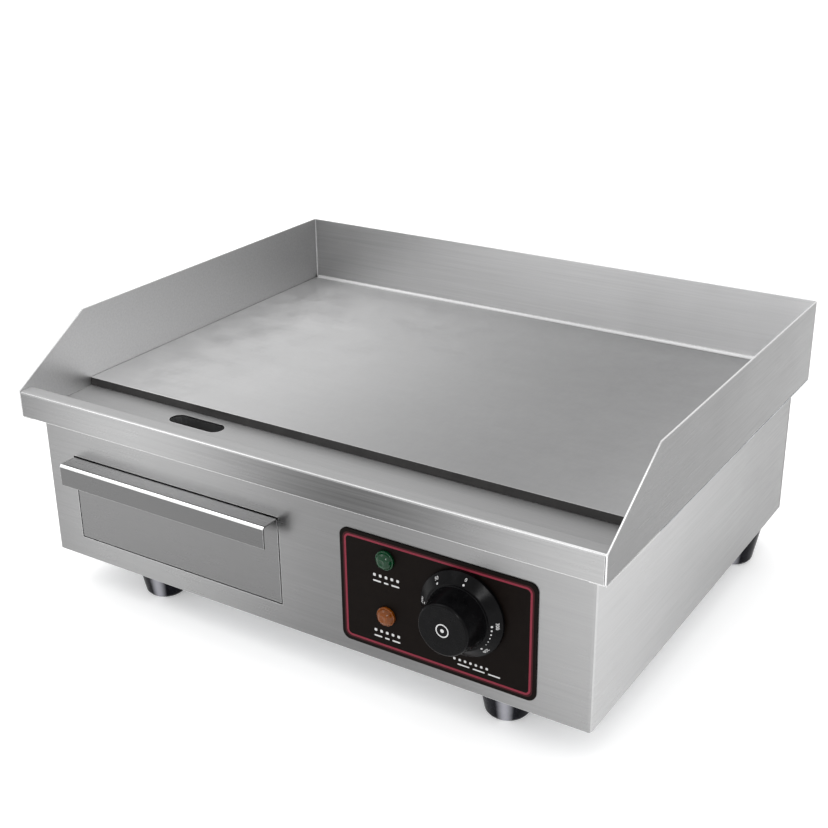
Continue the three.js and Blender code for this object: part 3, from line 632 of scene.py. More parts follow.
class Effects:
    """The node groups that several finishes share, each built once."""

    SHEEN_START = 0.93
    SHEEN_FALL = 1.6

    def __init__(self) -> None:
        """Build every group."""
        self.grain = self.build_grain()
        self.edges = self.build_edges()
        self.patches = self.build_patches()
        self.specks = self.build_specks()
        self.bands = self.build_bands()
        self.sheen = self.build_sheen()

    @staticmethod
    def build_grain() -> bpy.types.NodeTree:
        """Polishing lines: long streaks with finer scratches in them."""
        tree, board, given, result = start_group(
            "polishing_grain", {"Stretch": (1.0, 1.0, 1.0)}, ("Streaks", "Scratches")
        )
        place = board.stretched(given.outputs["Stretch"])
        streaks = board.noise(place, 1.0, 5.0, 0.62)
        scratches = board.noise(place, 3.1, 3.0, 0.7)
        board.feed(result.inputs["Streaks"], board.spread(streaks, 0.0, 1.0, 0.28, 0.72))
        board.feed(result.inputs["Scratches"], board.spread(scratches, 0.0, 1.0, 0.3, 0.7))
        return tree

    @staticmethod
    def build_edges() -> bpy.types.NodeTree:
        """Edge wear and painted edge highlight: a mask that is 1 on rounded edges and 0 on flats."""
        tree, board, given, result = start_group("edge_wear_and_highlight", {"Reach": 0.5 * MM, "Gain": 5.0}, ("Mask",))
        rounded = board.add("Bevel", samples=6)
        board.feed(rounded.inputs["Radius"], given.outputs["Reach"])
        flat = board.add("NewGeometry").outputs["Normal"]
        turned = board.maths("SUBTRACT", 1.0, board.vectors("DOT_PRODUCT", rounded.outputs["Normal"], flat))
        board.feed(result.inputs["Mask"], board.maths("MULTIPLY", turned, given.outputs["Gain"], clamp=True))
        return tree

    @staticmethod
    def build_patches() -> bpy.types.NodeTree:
        """Soft patches: slow changes of tone and the marks that wiping leaves."""
        tree, board, given, result = start_group(
            "soft_patches", {"Stretch": (6.0, 6.0, 6.0)}, ("Tone", "Wipes")
        )
        place = board.stretched(given.outputs["Stretch"])
        tone = board.noise(place, 1.0, 1.5, 0.4)
        wipes = board.noise(place, 4.3, 5.0, 0.6)
        board.feed(result.inputs["Tone"], board.spread(tone, 0.0, 1.0, 0.25, 0.75))
        board.feed(result.inputs["Wipes"], board.spread(wipes, 0.0, 1.0, 0.35, 0.7))
        return tree

    @staticmethod
    def build_bands() -> bpy.types.NodeTree:
        """Painted bands that stand for a room's soft reflections: 1 at a peak, 0 halfway to the next."""
        tree, board, given, result = start_group(
            "painted_bands", {"Across": (1.0, 0.0, 0.0), "Peak": 0.0, "Length": 0.4}, ("Band",)
        )
        along = board.vectors("DOT_PRODUCT", board.place(), given.outputs["Across"])
        reach = board.maths("SUBTRACT", along, given.outputs["Peak"])
        turns = board.maths("MULTIPLY", board.maths("DIVIDE", reach, given.outputs["Length"]), math.tau)
        wave = board.maths("COSINE", turns)
        board.feed(result.inputs["Band"], board.spread(wave, 0.0, 1.0, -1.0, 1.0))
        return tree

    @staticmethod
    def build_specks() -> bpy.types.NodeTree:
        """Fine even texture of moulded and pressed surfaces."""
        tree, board, given, result = start_group("moulded_specks", {"Scale": 900.0}, ("Specks", "Pits"))
        place = board.place()
        specks = board.noise(place, given.outputs["Scale"], 2.0, 0.5)
        pits = board.add("TexVoronoi", feature="F1")
        board.feed(pits.inputs["Vector"], place)
        board.feed(pits.inputs["Scale"], given.outputs["Scale"])
        board.feed(result.inputs["Specks"], specks)
        board.feed(result.inputs["Pits"], board.spread(pits.outputs["Distance"], 0.0, 1.0, 0.1, 0.6))
        return tree

    @staticmethod
    def build_sheen() -> bpy.types.NodeTree:
        """Painted upright highlight: 1 where a turned piece faces Toward, 0 a little way round."""
        tree, board, given, result = start_group(
            "painted_highlight", {"Centre": (0.0, 0.0, 0.0), "Toward": (0.0, -1.0, 0.0)}, ("Mask",)
        )
        reach = board.vectors("SUBTRACT", board.place(), given.outputs["Centre"])
        unit = board.vectors("NORMALIZE", board.vectors("MULTIPLY", reach, (1.0, 1.0, 0.0)))
        turned = board.vectors("DOT_PRODUCT", unit, given.outputs["Toward"])
        facing = board.spread(turned, 0.0, 1.0, Effects.SHEEN_START, 1.0)
        board.feed(result.inputs["Mask"], board.maths("POWER", facing, Effects.SHEEN_FALL))
        return tree


Colour = tuple[float, float, float]


def grey(value: float) -> Colour:
    """Make a neutral grey, a trace cooler than even."""
    return (value, value, value * 1.004)


def start_material(name: str) -> tuple[bpy.types.Material, Board, bpy.types.Node]:
    """Start a material with one principled shader."""
    material = bpy.data.materials.new(name)
    material.use_nodes = True
    board = Board(material.node_tree)
    shader = material.node_tree.nodes["Principled BSDF"]
    return material, board, shader


def use_group(board: Board, tree: bpy.types.NodeTree, **values: object) -> bpy.types.Node:
    """Place a shared effect in a material."""
    node = board.add("Group", node_tree=tree)
    for name, value in values.items():
        board.feed(node.inputs[name], value)
    return node


def raise_bump(board: Board, shader: bpy.types.Node, height: Socket, depth: float, strength: float) -> None:
    """Feed a height into a shader's normal.

    Args:
        board: The material's board.
        shader: The shader.
        height: The height, about 0 to 1.
        depth: What a height of 1 stands for, in metres.
        strength: How much of it shows.
    """
    bump = board.add("Bump")
    bump.inputs["Strength"].default_value = strength
    bump.inputs["Distance"].default_value = depth
    board.feed(bump.inputs["Height"], height)
    board.feed(shader.inputs["Normal"], bump.outputs["Normal"])


@dataclass(frozen=True)
class Finish:
    """A procedural finish, made once and worn by one or more pieces."""

    name: str

    def build(self, effects: Effects) -> bpy.types.Material:
        """Make the material."""
        material, board, shader = start_material(self.name)
        self.paint(board, shader, effects)
        return material

    def paint(self, board: Board, shader: bpy.types.Node, effects: Effects) -> None:
        """Feed the shader from the shared effects; each finish does it its own way."""


@dataclass(frozen=True)
class SheetSteel(Finish):
    """Polished stainless sheet: grain, bright edges that are partly wear and partly a painted highlight, and
    painted bands in place of reflections.
    """

    # dark and light are the ends of the painted reflection bands; edge is the painted highlight and wear on
    # rounded edges.
    dark: Colour = (0.33, 0.33, 0.335)
    light: Colour = (0.42, 0.42, 0.425)
    edge: Colour = (0.93, 0.93, 0.93)
    roughness: float = 0.3
    grain: Grain = Grain.ALONG_X
    patch: tuple[float, float, float] = (3.0, 1.2, 1.2)
    across: tuple[float, float, float] = (1.0, 0.0, 0.0)
    band_peak: float = -0.15
    band_length: float = 0.44
    metallic: float = 1.0
    edge_reach: float = 0.9 * MM
    edge_gain: float = 4.0

    def paint(self, board: Board, shader: bpy.types.Node, effects: Effects) -> None:
        """Feed the shader from the shared effects."""
        grain = use_group(board, effects.grain, Stretch=self.grain.value)
        patches = use_group(board, effects.patches, Stretch=self.patch)
        edges = use_group(board, effects.edges, Reach=self.edge_reach, Gain=self.edge_gain)
        bands = use_group(
            board, effects.bands, Across=self.across, Peak=self.band_peak, Length=self.band_length
        )
        fine = board.spread(grain.outputs["Streaks"], -0.07, 0.07)
        cloudy = board.maths("ADD", fine, board.spread(patches.outputs["Tone"], -0.07, 0.07))
        tone = board.maths("ADD", board.spread(bands.outputs["Band"], 0.07, 0.93), cloudy, clamp=True)
        sheet = board.blend(tone, self.dark, self.light)
        # Rounded edges lifted towards the edge colour: partly wear, partly a painted highlight.
        board.feed(shader.inputs["Base Color"], board.blend(edges.outputs["Mask"], sheet, self.edge))
        shader.inputs["Metallic"].default_value = self.metallic
        scratch = board.spread(grain.outputs["Scratches"], -0.05, 0.06)
        wiped = board.spread(patches.outputs["Wipes"], self.roughness - 0.02, self.roughness + 0.05)
        rough = board.maths("ADD", wiped, scratch)
        polished = board.maths("MULTIPLY", edges.outputs["Mask"], 0.1)
        board.feed(shader.inputs["Roughness"], board.maths("SUBTRACT", rough, polished, clamp=True))
        raise_bump(board, shader, grain.outputs["Streaks"], 0.01 * MM, 0.25)


@dataclass(frozen=True)
class GroundPlate(Finish):
    """Cooking plate: matt ground steel with crossing marks, faint seasoning, one painted band of reflected
    light and painted edge highlights.
    """

    name: str = "ground_plate"
    dark: Colour = (0.25, 0.25, 0.252)
    light: Colour = (0.66, 0.66, 0.662)
    edge: Colour = (0.95, 0.95, 0.95)
    roughness: float = 0.5

    def paint(self, board: Board, shader: bpy.types.Node, effects: Effects) -> None:
        """Feed the shader from the shared effects."""
        lines = use_group(board, effects.grain, Stretch=Grain.ALONG_X.value)
        cross = use_group(board, effects.grain, Stretch=(240.0, 30.0, 240.0))
        patches = use_group(board, effects.patches, Stretch=(7.0, 7.0, 7.0))
        edges = use_group(board, effects.edges, Reach=0.8 * MM, Gain=4.0)
        marks = board.maths("MULTIPLY", lines.outputs["Streaks"], cross.outputs["Scratches"])
        # A painted reflection: one broad band across X, lightest near x = -0.27 m, sets most of the tone.
        bands = use_group(board, effects.bands, Across=(1.0, 0.0, 0.0), Peak=-0.27, Length=0.85)
        seasoning = board.spread(patches.outputs["Tone"], 0.0, 0.03)
        cloudy = board.maths("ADD", board.spread(marks, 0.0, 0.1), seasoning)
        tone = board.maths("ADD", cloudy, board.spread(bands.outputs["Band"], 0.0, 0.84), clamp=True)
        metal = board.blend(tone, self.dark, self.light)
        # Rounded edges lifted to a near-white painted highlight, partly wear.
        board.feed(shader.inputs["Base Color"], board.blend(edges.outputs["Mask"], metal, self.edge))
        shader.inputs["Metallic"].default_value = 1.0
        seasoned = board.spread(patches.outputs["Wipes"], self.roughness - 0.05, self.roughness + 0.09)
        scratch = board.spread(marks, -0.04, 0.06)
        board.feed(shader.inputs["Roughness"], board.maths("ADD", seasoned, scratch, clamp=True))
        raise_bump(board, shader, marks, 0.012 * MM, 0.3)


@dataclass(frozen=True)
class DarkScale(Finish):
    """The plate's cut edge: dark mill scale over steel, rougher than its face."""

    name: str = "plate_cut_edge"
    dark: Colour = (0.03, 0.029, 0.029)
    light: Colour = (0.055, 0.053, 0.052)
    metallic: float = 0.35
    roughness: float = 0.55
    grain: Grain = Grain.ALONG_X

    def paint(self, board: Board, shader: bpy.types.Node, effects: Effects) -> None:
        """Feed the shader from the shared effects."""
        grain = use_group(board, effects.grain, Stretch=self.grain.value)
        specks = use_group(board, effects.specks, Scale=700.0)
        patches = use_group(board, effects.patches, Stretch=(18.0, 18.0, 18.0))
        mottle = board.maths("MULTIPLY", specks.outputs["Specks"], patches.outputs["Wipes"])
        tone = board.maths("ADD", board.spread(grain.outputs["Streaks"], 0.0, 0.5), mottle, clamp=True)
        board.feed(shader.inputs["Base Color"], board.blend(tone, self.dark, self.light))
        shader.inputs["Metallic"].default_value = self.metallic
        rough = board.spread(mottle, self.roughness - 0.06, self.roughness + 0.12)
        board.feed(shader.inputs["Roughness"], rough)
        raise_bump(board, shader, mottle, 0.03 * MM, 0.4)


@dataclass(frozen=True)
class Galvanised(Finish):
    """Zinc-coated sheet: crystals of slightly different greys, dull and a little cloudy."""

    name: str = "galvanised_sheet"
    dark: Colour = (0.3, 0.31, 0.325)
    light: Colour = (0.47, 0.48, 0.49)
    roughness: float = 0.42
    crystal: float = 90.0

    def paint(self, board: Board, shader: bpy.types.Node, effects: Effects) -> None:
        """Feed the shader from the shared effects."""
        patches = use_group(board, effects.patches, Stretch=(14.0, 14.0, 14.0))
        edges = use_group(board, effects.edges, Reach=0.6 * MM, Gain=4.0)
        crystals = board.add("TexVoronoi", feature="F1")
        board.feed(crystals.inputs["Vector"], board.place())
        crystals.inputs["Scale"].default_value = self.crystal
        shade = board.add("SeparateColor")
        board.feed(shade.inputs[0], crystals.outputs["Color"])
        tone = board.maths("MULTIPLY", shade.outputs[0], patches.outputs["Wipes"])
        sheet = board.blend(tone, self.dark, self.light)
        # Rounded edges lifted to the light grey: partly wear, partly a painted highlight.
        board.feed(shader.inputs["Base Color"], board.blend(edges.outputs["Mask"], sheet, self.light))
        shader.inputs["Metallic"].default_value = 0.9
        rough = board.spread(tone, self.roughness + 0.12, self.roughness - 0.06)
        board.feed(shader.inputs["Roughness"], rough)
        raise_bump(board, shader, shade.outputs[1], 0.01 * MM, 0.3)


@dataclass(frozen=True)
class PlatedMetal(Finish):
    """Small turned or drawn metal: plating with fine turning lines and bright edges, partly wear and partly a
    painted highlight.
    """

    dark: Colour
    light: Colour
    roughness: float = 0.28
    metallic: float = 1.0
    edge_gain: float = 4.0

    def paint(self, board: Board, shader: bpy.types.Node, effects: Effects) -> None:
        """Feed the shader from the shared effects."""
        grain = use_group(board, effects.grain, Stretch=Grain.NONE.value)
        patches = use_group(board, effects.patches, Stretch=(60.0, 60.0, 60.0))
        edges = use_group(board, effects.edges, Reach=0.4 * MM, Gain=self.edge_gain)
        tone = board.maths("MULTIPLY", grain.outputs["Streaks"], patches.outputs["Tone"])
        # worn takes the brighter of the tone and the edge mask: wear and a painted highlight on rounded
        # edges.
        worn = board.maths("MAXIMUM", tone, edges.outputs["Mask"], clamp=True)
        board.feed(shader.inputs["Base Color"], board.blend(worn, self.dark, self.light))
        shader.inputs["Metallic"].default_value = self.metallic
        rough = board.spread(grain.outputs["Scratches"], self.roughness - 0.06, self.roughness + 0.1)
        board.feed(shader.inputs["Roughness"], rough)
        raise_bump(board, shader, grain.outputs["Scratches"], 0.01 * MM, 0.2)


@dataclass(frozen=True)
class Moulded(Finish):
    """Moulded plastic or rubber: fine specks, uneven gloss, edges lightened as wear and painted highlight
    and, where asked for, a painted upright highlight.
    """

    dark: Colour
    light: Colour
    roughness: float = 0.3
    speck: float = 900.0
    bump: float = 0.1
    specular: float = 0.5
    # The painted upright highlight: its colour, the axis it turns about and the way it faces.
    sheen: Colour | None = None
    centre: Colour = (0.0, 0.0, 0.0)
    toward: Colour = (0.362, -0.932, 0.0)

    def paint(self, board: Board, shader: bpy.types.Node, effects: Effects) -> None:
        """Feed the shader from the shared effects."""
        specks = use_group(board, effects.specks, Scale=self.speck)
        patches = use_group(board, effects.patches, Stretch=(35.0, 35.0, 35.0))
        edges = use_group(board, effects.edges, Reach=0.5 * MM, Gain=2.0)
        haze = board.maths("MULTIPLY", specks.outputs["Specks"], patches.outputs["Wipes"])
        # worn lightens rounded edges: partly wear, partly a painted highlight.
        worn = board.maths("ADD", board.maths("MULTIPLY", edges.outputs["Mask"], 0.45), haze, clamp=True)
        colour = board.blend(worn, self.dark, self.light)
        # Paint the upright highlight into the base colour.
        if self.sheen:
            sheen = use_group(board, effects.sheen, Centre=self.centre, Toward=self.toward)
            colour = board.blend(sheen.outputs["Mask"], colour, self.sheen)
        board.feed(shader.inputs["Base Color"], colour)
        rough = board.spread(patches.outputs["Wipes"], self.roughness - 0.04, self.roughness + 0.08)
        board.feed(shader.inputs["Roughness"], rough)
        shader.inputs["Specular IOR Level"].default_value = self.specular
        raise_bump(board, shader, specks.outputs["Specks"], 0.03 * MM, self.bump)


@dataclass(frozen=True)
class CeramicFibre(Finish):
    """Pressed ceramic fibre board: soft matted fibres, darker in their hollows as painted shade."""

    name: str = "ceramic_fibre_board"
    dark: Colour = (0.55, 0.53, 0.47)
    light: Colour = (0.83, 0.81, 0.75)

    def paint(self, board: Board, shader: bpy.types.Node, effects: Effects) -> None:
        """Feed the shader from the shared effects."""
        fibres = use_group(board, effects.grain, Stretch=(300.0, 60.0, 300.0))
        crossed = use_group(board, effects.grain, Stretch=(60.0, 300.0, 300.0))
        patches = use_group(board, effects.patches, Stretch=(25.0, 25.0, 25.0))
        mat = board.maths("MAXIMUM", fibres.outputs["Streaks"], crossed.outputs["Streaks"])
        tone = board.maths("MULTIPLY", mat, board.spread(patches.outputs["Tone"], 0.7, 1.0))
        # Darker where the fibres are low: painted shade in the hollows.
        board.feed(shader.inputs["Base Color"], board.blend(tone, self.dark, self.light))
        board.feed(shader.inputs["Roughness"], board.spread(mat, 1.0, 0.85))
        raise_bump(board, shader, mat, 0.3 * MM, 0.6)


@dataclass(frozen=True)
class ClearLens(Finish):
    """Tinted clear lens, glossy, with faint moulding flow in its tint and a painted highlight ring round its
    edges.
    """

    dark: Colour
    light: Colour
    transmission: float = 0.2
    refraction: float = 1.49
    specular: float = 0.25

    def paint(self, board: Board, shader: bpy.types.Node, effects: Effects) -> None:
        """Feed the shader from the shared effects."""
        patches = use_group(board, effects.patches, Stretch=(60.0, 60.0, 60.0))
        edges = use_group(board, effects.edges, Reach=0.6 * MM, Gain=3.0)
        flow = board.spread(patches.outputs["Tone"], 0.0, 0.25)
        # The edge mask paints a lighter ring as a highlight.
        tone = board.maths("ADD", flow, edges.outputs["Mask"], clamp=True)
        board.feed(shader.inputs["Base Color"], board.blend(tone, self.dark, self.light))
        board.feed(shader.inputs["Roughness"], board.spread(patches.outputs["Wipes"], 0.06, 0.12))
        shader.inputs["Transmission Weight"].default_value = self.transmission
        shader.inputs["IOR"].default_value = self.refraction
        shader.inputs["Specular IOR Level"].default_value = self.specular
        raise_bump(board, shader, patches.outputs["Tone"], 0.01 * MM, 0.01)


@dataclass(frozen=True)
class Print(Finish):
    """Screen-printed ink: nearly even, thinner where the screen's mesh shows."""

    thin: Colour
    full: Colour
    specular: float = 0.3

    def paint(self, board: Board, shader: bpy.types.Node, effects: Effects) -> None:
        """Feed the shader from the shared effects."""
        specks = use_group(board, effects.specks, Scale=2600.0)
        patches = use_group(board, effects.patches, Stretch=(80.0, 80.0, 80.0))
        film = board.spread(patches.outputs["Tone"], 0.2, 0.6)
        ink = board.maths("ADD", specks.outputs["Pits"], film, clamp=True)
        board.feed(shader.inputs["Base Color"], board.blend(ink, self.thin, self.full))
        board.feed(shader.inputs["Roughness"], board.spread(ink, 0.6, 0.42))
        shader.inputs["Specular IOR Level"].default_value = self.specular
        raise_bump(board, shader, specks.outputs["Pits"], 0.01 * MM, 0.2)


class Finishes:
    """Every finish on the griddle, built once and worn by its pieces."""

    def __init__(self) -> None:
        """Build the shared effects and then each material."""
        effects = Effects()
        self.front = SheetSteel("case_front_steel", grey(0.165), grey(0.34)).build(effects)
        # The sides wear a copy of the front's steel with the grain along Y and lighter tones and bands as
        # painted light.
        self.side = SheetSteel(
            "case_side_steel",
            grey(0.2),
            grey(0.5),
            grain=Grain.ALONG_Y,
            across=(0.0, 1.0, 0.0),
            band_peak=-0.25,
            band_length=0.95,
        ).build(effects)
        self.guard = SheetSteel(
            "guard_outer_steel",
            grey(0.165),
            grey(0.21),
            grain=Grain.ALONG_Y,
            across=(0.0, 1.0, 0.0),
            band_peak=0.2,
            band_length=0.5,
            edge_reach=1.2 * MM,
            edge_gain=5.0,
        ).build(effects)
        # The guard's inside wears a much lighter copy of its steel with broad bands: painted light and
        # reflections.
        self.guard_inner = SheetSteel(
            "guard_inner_steel_painted_light",
            grey(0.37),
            grey(0.97),
            roughness=0.4,
            across=(1.0, -0.75, 0.0),
            band_peak=0.128,
            band_length=1.2,
        ).build(effects)
        self.rim = SheetSteel("rim_face_steel", grey(0.08), grey(0.385)).build(effects)
        # The rim's bend and top wear lighter copies of its steel: a painted highlight on the bend, painted
        # light on upward faces.
        self.rim_bend = SheetSteel("rim_bend_painted_highlight", grey(0.32), grey(0.56), roughness=0.25).build(effects)
        self.rim_top = SheetSteel(
            "rim_top_steel_painted_light",
            grey(0.24),
            grey(0.4),
            roughness=0.45,
            band_peak=-0.27,
            band_length=1.1,
            metallic=0.6,
        ).build(effects)
        # Cut edges and the pull's outer bend: near white, partly polish and partly a painted highlight.
        self.bright_edge = SheetSteel(
            "polished_edge_painted_highlight", grey(0.85), grey(0.95), roughness=0.2
        ).build(effects)
        # Cut edges of the guard: polished steel, painted much lighter than its faces as a highlight.
        self.guard_edge = SheetSteel("guard_cut_edge_painted_highlight", grey(0.6), grey(0.7), roughness=0.25).build(effects)
        self.weld = SheetSteel(
            "ground_weld_steel", grey(0.55), grey(0.66), roughness=0.5, metallic=0.5
        ).build(effects)
        self.drawer = SheetSteel("drawer_face_steel", grey(0.175), grey(0.195)).build(effects)
        # The pull's lip and top wear darker and lighter copies of the face's steel: painted shade on the lip,
        # painted light on the top.
        self.lip = SheetSteel("pull_lip_steel_painted_shade", grey(0.13), grey(0.145)).build(effects)
        self.flange = SheetSteel("pull_top_steel_painted_light", grey(0.68), grey(0.78)).build(effects)
        self.inner = SheetSteel("inner_steel", roughness=0.36, grain=Grain.ALONG_Y).build(effects)
        self.plate = GroundPlate().build(effects)
        self.cut_edge = DarkScale().build(effects)
        self.galvanised = Galvanised().build(effects)
        self.zinc = PlatedMetal("bright_zinc", (0.45, 0.46, 0.48), (0.75, 0.76, 0.77)).build(effects)
        self.element = PlatedMetal(
            "heated_sheath", (0.05, 0.045, 0.045), (0.17, 0.15, 0.14), 0.5, metallic=0.8, edge_gain=1.0
        ).build(effects)
        self.copper = PlatedMetal("drawn_copper", (0.45, 0.2, 0.11), (0.75, 0.4, 0.26), 0.3).build(effects)
        self.fibre = CeramicFibre().build(effects)
        self.rubber = {place: self.foot_rubber(place, effects) for place in FOOT_PLACES}
        self.knob = Moulded(
            "dial_plastic",
            (0.002, 0.002, 0.0023),
            (0.005, 0.005, 0.0055),
            roughness=0.2,
            speck=2200.0,
            bump=0.02,
            specular=0.07,
        ).build(effects)
        self.gland = Moulded("gland_nylon", (0.012, 0.012, 0.013), (0.035, 0.035, 0.036), 0.42).build(effects)
        self.nylon = Moulded("natural_nylon", (0.6, 0.57, 0.47), (0.78, 0.75, 0.66), 0.5).build(effects)
        self.panel = Moulded(
            "facia_black",
            (0.004, 0.0025, 0.002),
            (0.007, 0.005, 0.004),
            roughness=0.45,
            speck=1800.0,
            bump=0.04,
            specular=0.04,
        ).build(effects)
        self.green = ClearLens("green_lens_tint", (0.0008, 0.032, 0.01), (0.005, 0.15, 0.05)).build(effects)
        self.amber = ClearLens("amber_lens_tint", (0.14, 0.032, 0.001), (0.42, 0.12, 0.005)).build(effects)
        self.white_ink = Print("white_print", (0.32, 0.32, 0.32), (0.5, 0.5, 0.5)).build(effects)
        self.red_ink = Print("red_print", (0.135, 0.013, 0.024), (0.175, 0.021, 0.036), 0.1).build(effects)
        self.dark_red_ink = Print(
            "dark_red_print", (0.02, 0.002, 0.003), (0.035, 0.004, 0.006), 0.1
        ).build(effects)

    @staticmethod
    def foot_rubber(place: str, effects: Effects) -> bpy.types.Material:
        """Make one foot's rubber, with its painted upright highlight about its own axis.

        Args:
            place: The corner that the foot stands at.
            effects: The shared effects.

        Returns:
            The material.
        """
        middle = sum(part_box(f"foot_{place}"), Vector()) / 2
        return Moulded(
            f"foot_rubber_{place}",
            (0.002, 0.002, 0.004),
            (0.01, 0.01, 0.015),
            roughness=0.25,
            speck=1400.0,
            bump=0.05,
            specular=0.08,
            sheen=(0.32, 0.32, 0.35),
            centre=(middle.x, middle.y, 0.0),
        ).build(effects)


def dress(piece: bpy.types.Object, *materials: bpy.types.Material) -> None:
    """Give a piece its materials in place of any others."""
    if "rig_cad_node" not in piece:
        piece.data.materials.clear()
    for index, material in enumerate(materials):
        if index < len(piece.data.materials):
            piece.data.materials[index] = material
        else:
            piece.data.materials.append(material)


# ---------------------------------------------------------------- sub-assemblies
@dataclass
class Tray:
    """Splash guard, front rim with its gutter, and the cooking plate."""

    finishes: Finishes
    wall: float = 1.5 * MM
    sheet: float = 1.2 * MM
    corner_radius: float = 3.0 * MM
    slope_run: float = 82.0 * MM
    rim_flat: float = 13.5 * MM
    rim_radius: float = 2.8 * MM
    slope_depth: float = 35.5 * MM
    skirt_bottom: float = 167.0 * MM
    tab_width: float = 13.0 * MM
    drain_centre: Vector = field(default_factory=lambda: Vector((-134.5, -149.6, 166.0)) * MM)
    drain_size: Vector = field(default_factory=lambda: Vector((56.0, 17.0, 20.0)) * MM)
    plate_corner: float = 2.2 * MM
    seam_size: float = 2.6 * MM
    seam_sunk: float = 0.15 * MM
    seam_round: float = 0.94
    sheet_ease: float = 0.35 * MM
    plate_ease: float = 0.5 * MM

    def build_guard(self) -> bpy.types.Object:
        """Fold the three-sided wall and slope off its front corners.

        Returns:
            The splash guard.
        """
        low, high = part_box("splash_guard")
        rim_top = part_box("front_rim")[1].z
        corners = [
            Vector((low.x, low.y, low.z)),
            Vector((low.x, high.y, low.z)),
            Vector((high.x, high.y, low.z)),
            Vector((high.x, low.y, low.z)),
        ]
        run = Vector((0, 0, high.z - low.z))
        bends = {1: self.corner_radius, 2: self.corner_radius}
        guard = fold_sheet("guard_wall", corners, run, Vector((-1, 0, 0)), bends)
        edit(guard)
        bpy.ops.mesh.select_all(action="SELECT")
        rise = high.z - rim_top
        bpy.ops.mesh.bisect(
            plane_co=(0, low.y, rim_top), plane_no=(0, -rise, self.slope_run), clear_outer=True
        )
        leave_edit()
        dress(guard, self.finishes.guard, self.finishes.guard_inner, self.finishes.guard_edge)
        thicken(guard, self.wall, 1, 2)
        ease_edges(guard, self.sheet_ease)
        return fit(guard, Body.CHASSIS, Slot.CASE, "splash_guard")

    def build_rim(self) -> bpy.types.Object:
        """Fold the skirt, flat, slope and gutter floor, then pierce the drain slot.

        Returns:
            The front rim.
        """
        low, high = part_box("front_rim")
        reach = high.x - self.wall - CLEARANCE
        floor = low.z + self.sheet
        section = [
            (low.y, self.skirt_bottom),
            (low.y, high.z),
            (low.y + self.rim_flat, high.z),
            (low.y + self.slope_depth, floor),
            (high.y, floor),
        ]
        corners = [Vector((-reach, y, z)) for y, z in section]
        bends = {1: self.rim_radius, 2: self.rim_radius, 3: self.rim_radius}
        rim = fold_sheet("rim_channel", corners, Vector((2 * reach, 0, 0)), FRONT, bends)
        coats = (self.finishes.rim, self.finishes.rim_top, self.finishes.bright_edge, self.finishes.rim_bend)
        dress(rim, *coats)
        thicken(rim, self.sheet, 0, 2)
        tabs = []
        for side in (-1, 1):
            ends = sorted((side * high.x, side * (high.x - self.tab_width)))
            tab_low = (ends[0], low.y + self.sheet, low.z)
            tabs.append(start_block("tab", tab_low, (ends[1], high.y, floor)))
        cut(rim, *tabs, operation="UNION")
        cut(rim, slot_tool(self.drain_centre, self.drain_size, UP, 10))
        ease_edges(rim, self.sheet_ease)
        # Upward faces take the lighter top copy as painted light; faces turned up and forward take the bend's
        # painted highlight.
        for polygon in rim.data.polygons:
            if polygon.center.y > low.y + 0.8 * self.rim_radius and polygon.normal.z > 0.5:
                polygon.material_index = 1
            elif polygon.normal.z > 0.2 and polygon.normal.y < -0.2:
                polygon.material_index = 3
        return fit(rim, Body.CHASSIS, Slot.CASE, "front_rim")

    def build_plate(self) -> bpy.types.Object:
        """Cut the thick plate, ease its corners and leave its edge dark.

        Returns:
            The cooking plate.
        """
        low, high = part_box("cooking_plate")
        plate = start_block("griddle_plate", low, high)
        edit(plate)
        choose(Element.EDGE, lambda centre, way: abs(way.z) > 0.99 and centre.y > 0)
        bpy.ops.mesh.bevel(offset=self.plate_corner, segments=6, affect="EDGES")
        leave_edit()
        ease_edges(plate, self.plate_ease, 3)
        dress(plate, self.finishes.plate, self.finishes.cut_edge)
        for polygon in plate.data.polygons:
            polygon.material_index = 1 if abs(polygon.normal.z) < 0.3 else 0
        return fit(plate, Body.CHASSIS, Slot.PLATE, "cooking_plate")

    def build_seam(self) -> bpy.types.Object:
        """Run the ground weld bead along the joint of plate and back wall.

        Returns:
            The bead.
        """
        low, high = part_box("cooking_plate")
        sunk = high.z - self.seam_sunk
        size = self.seam_size
        first = (low.x + size, high.y - size, sunk)
        bead = start_block("rear_weld_bead", first, (high.x - size, high.y, sunk + size))
        edit(bead)
        choose(Element.EDGE, lambda centre, _: near(centre, Vector((0, high.y - size, sunk + size))))
        bpy.ops.mesh.bevel(offset=self.seam_round * size, segments=5, affect="EDGES")
        leave_edit()
        shade_flats(bead)
        dress(bead, self.finishes.weld)
        return fit(bead, Body.CHASSIS, Slot.CASE)

    def build(self) -> None:
        """Build the whole tray."""
        self.build_guard()
        self.build_rim()
        self.build_plate()
        self.build_seam()


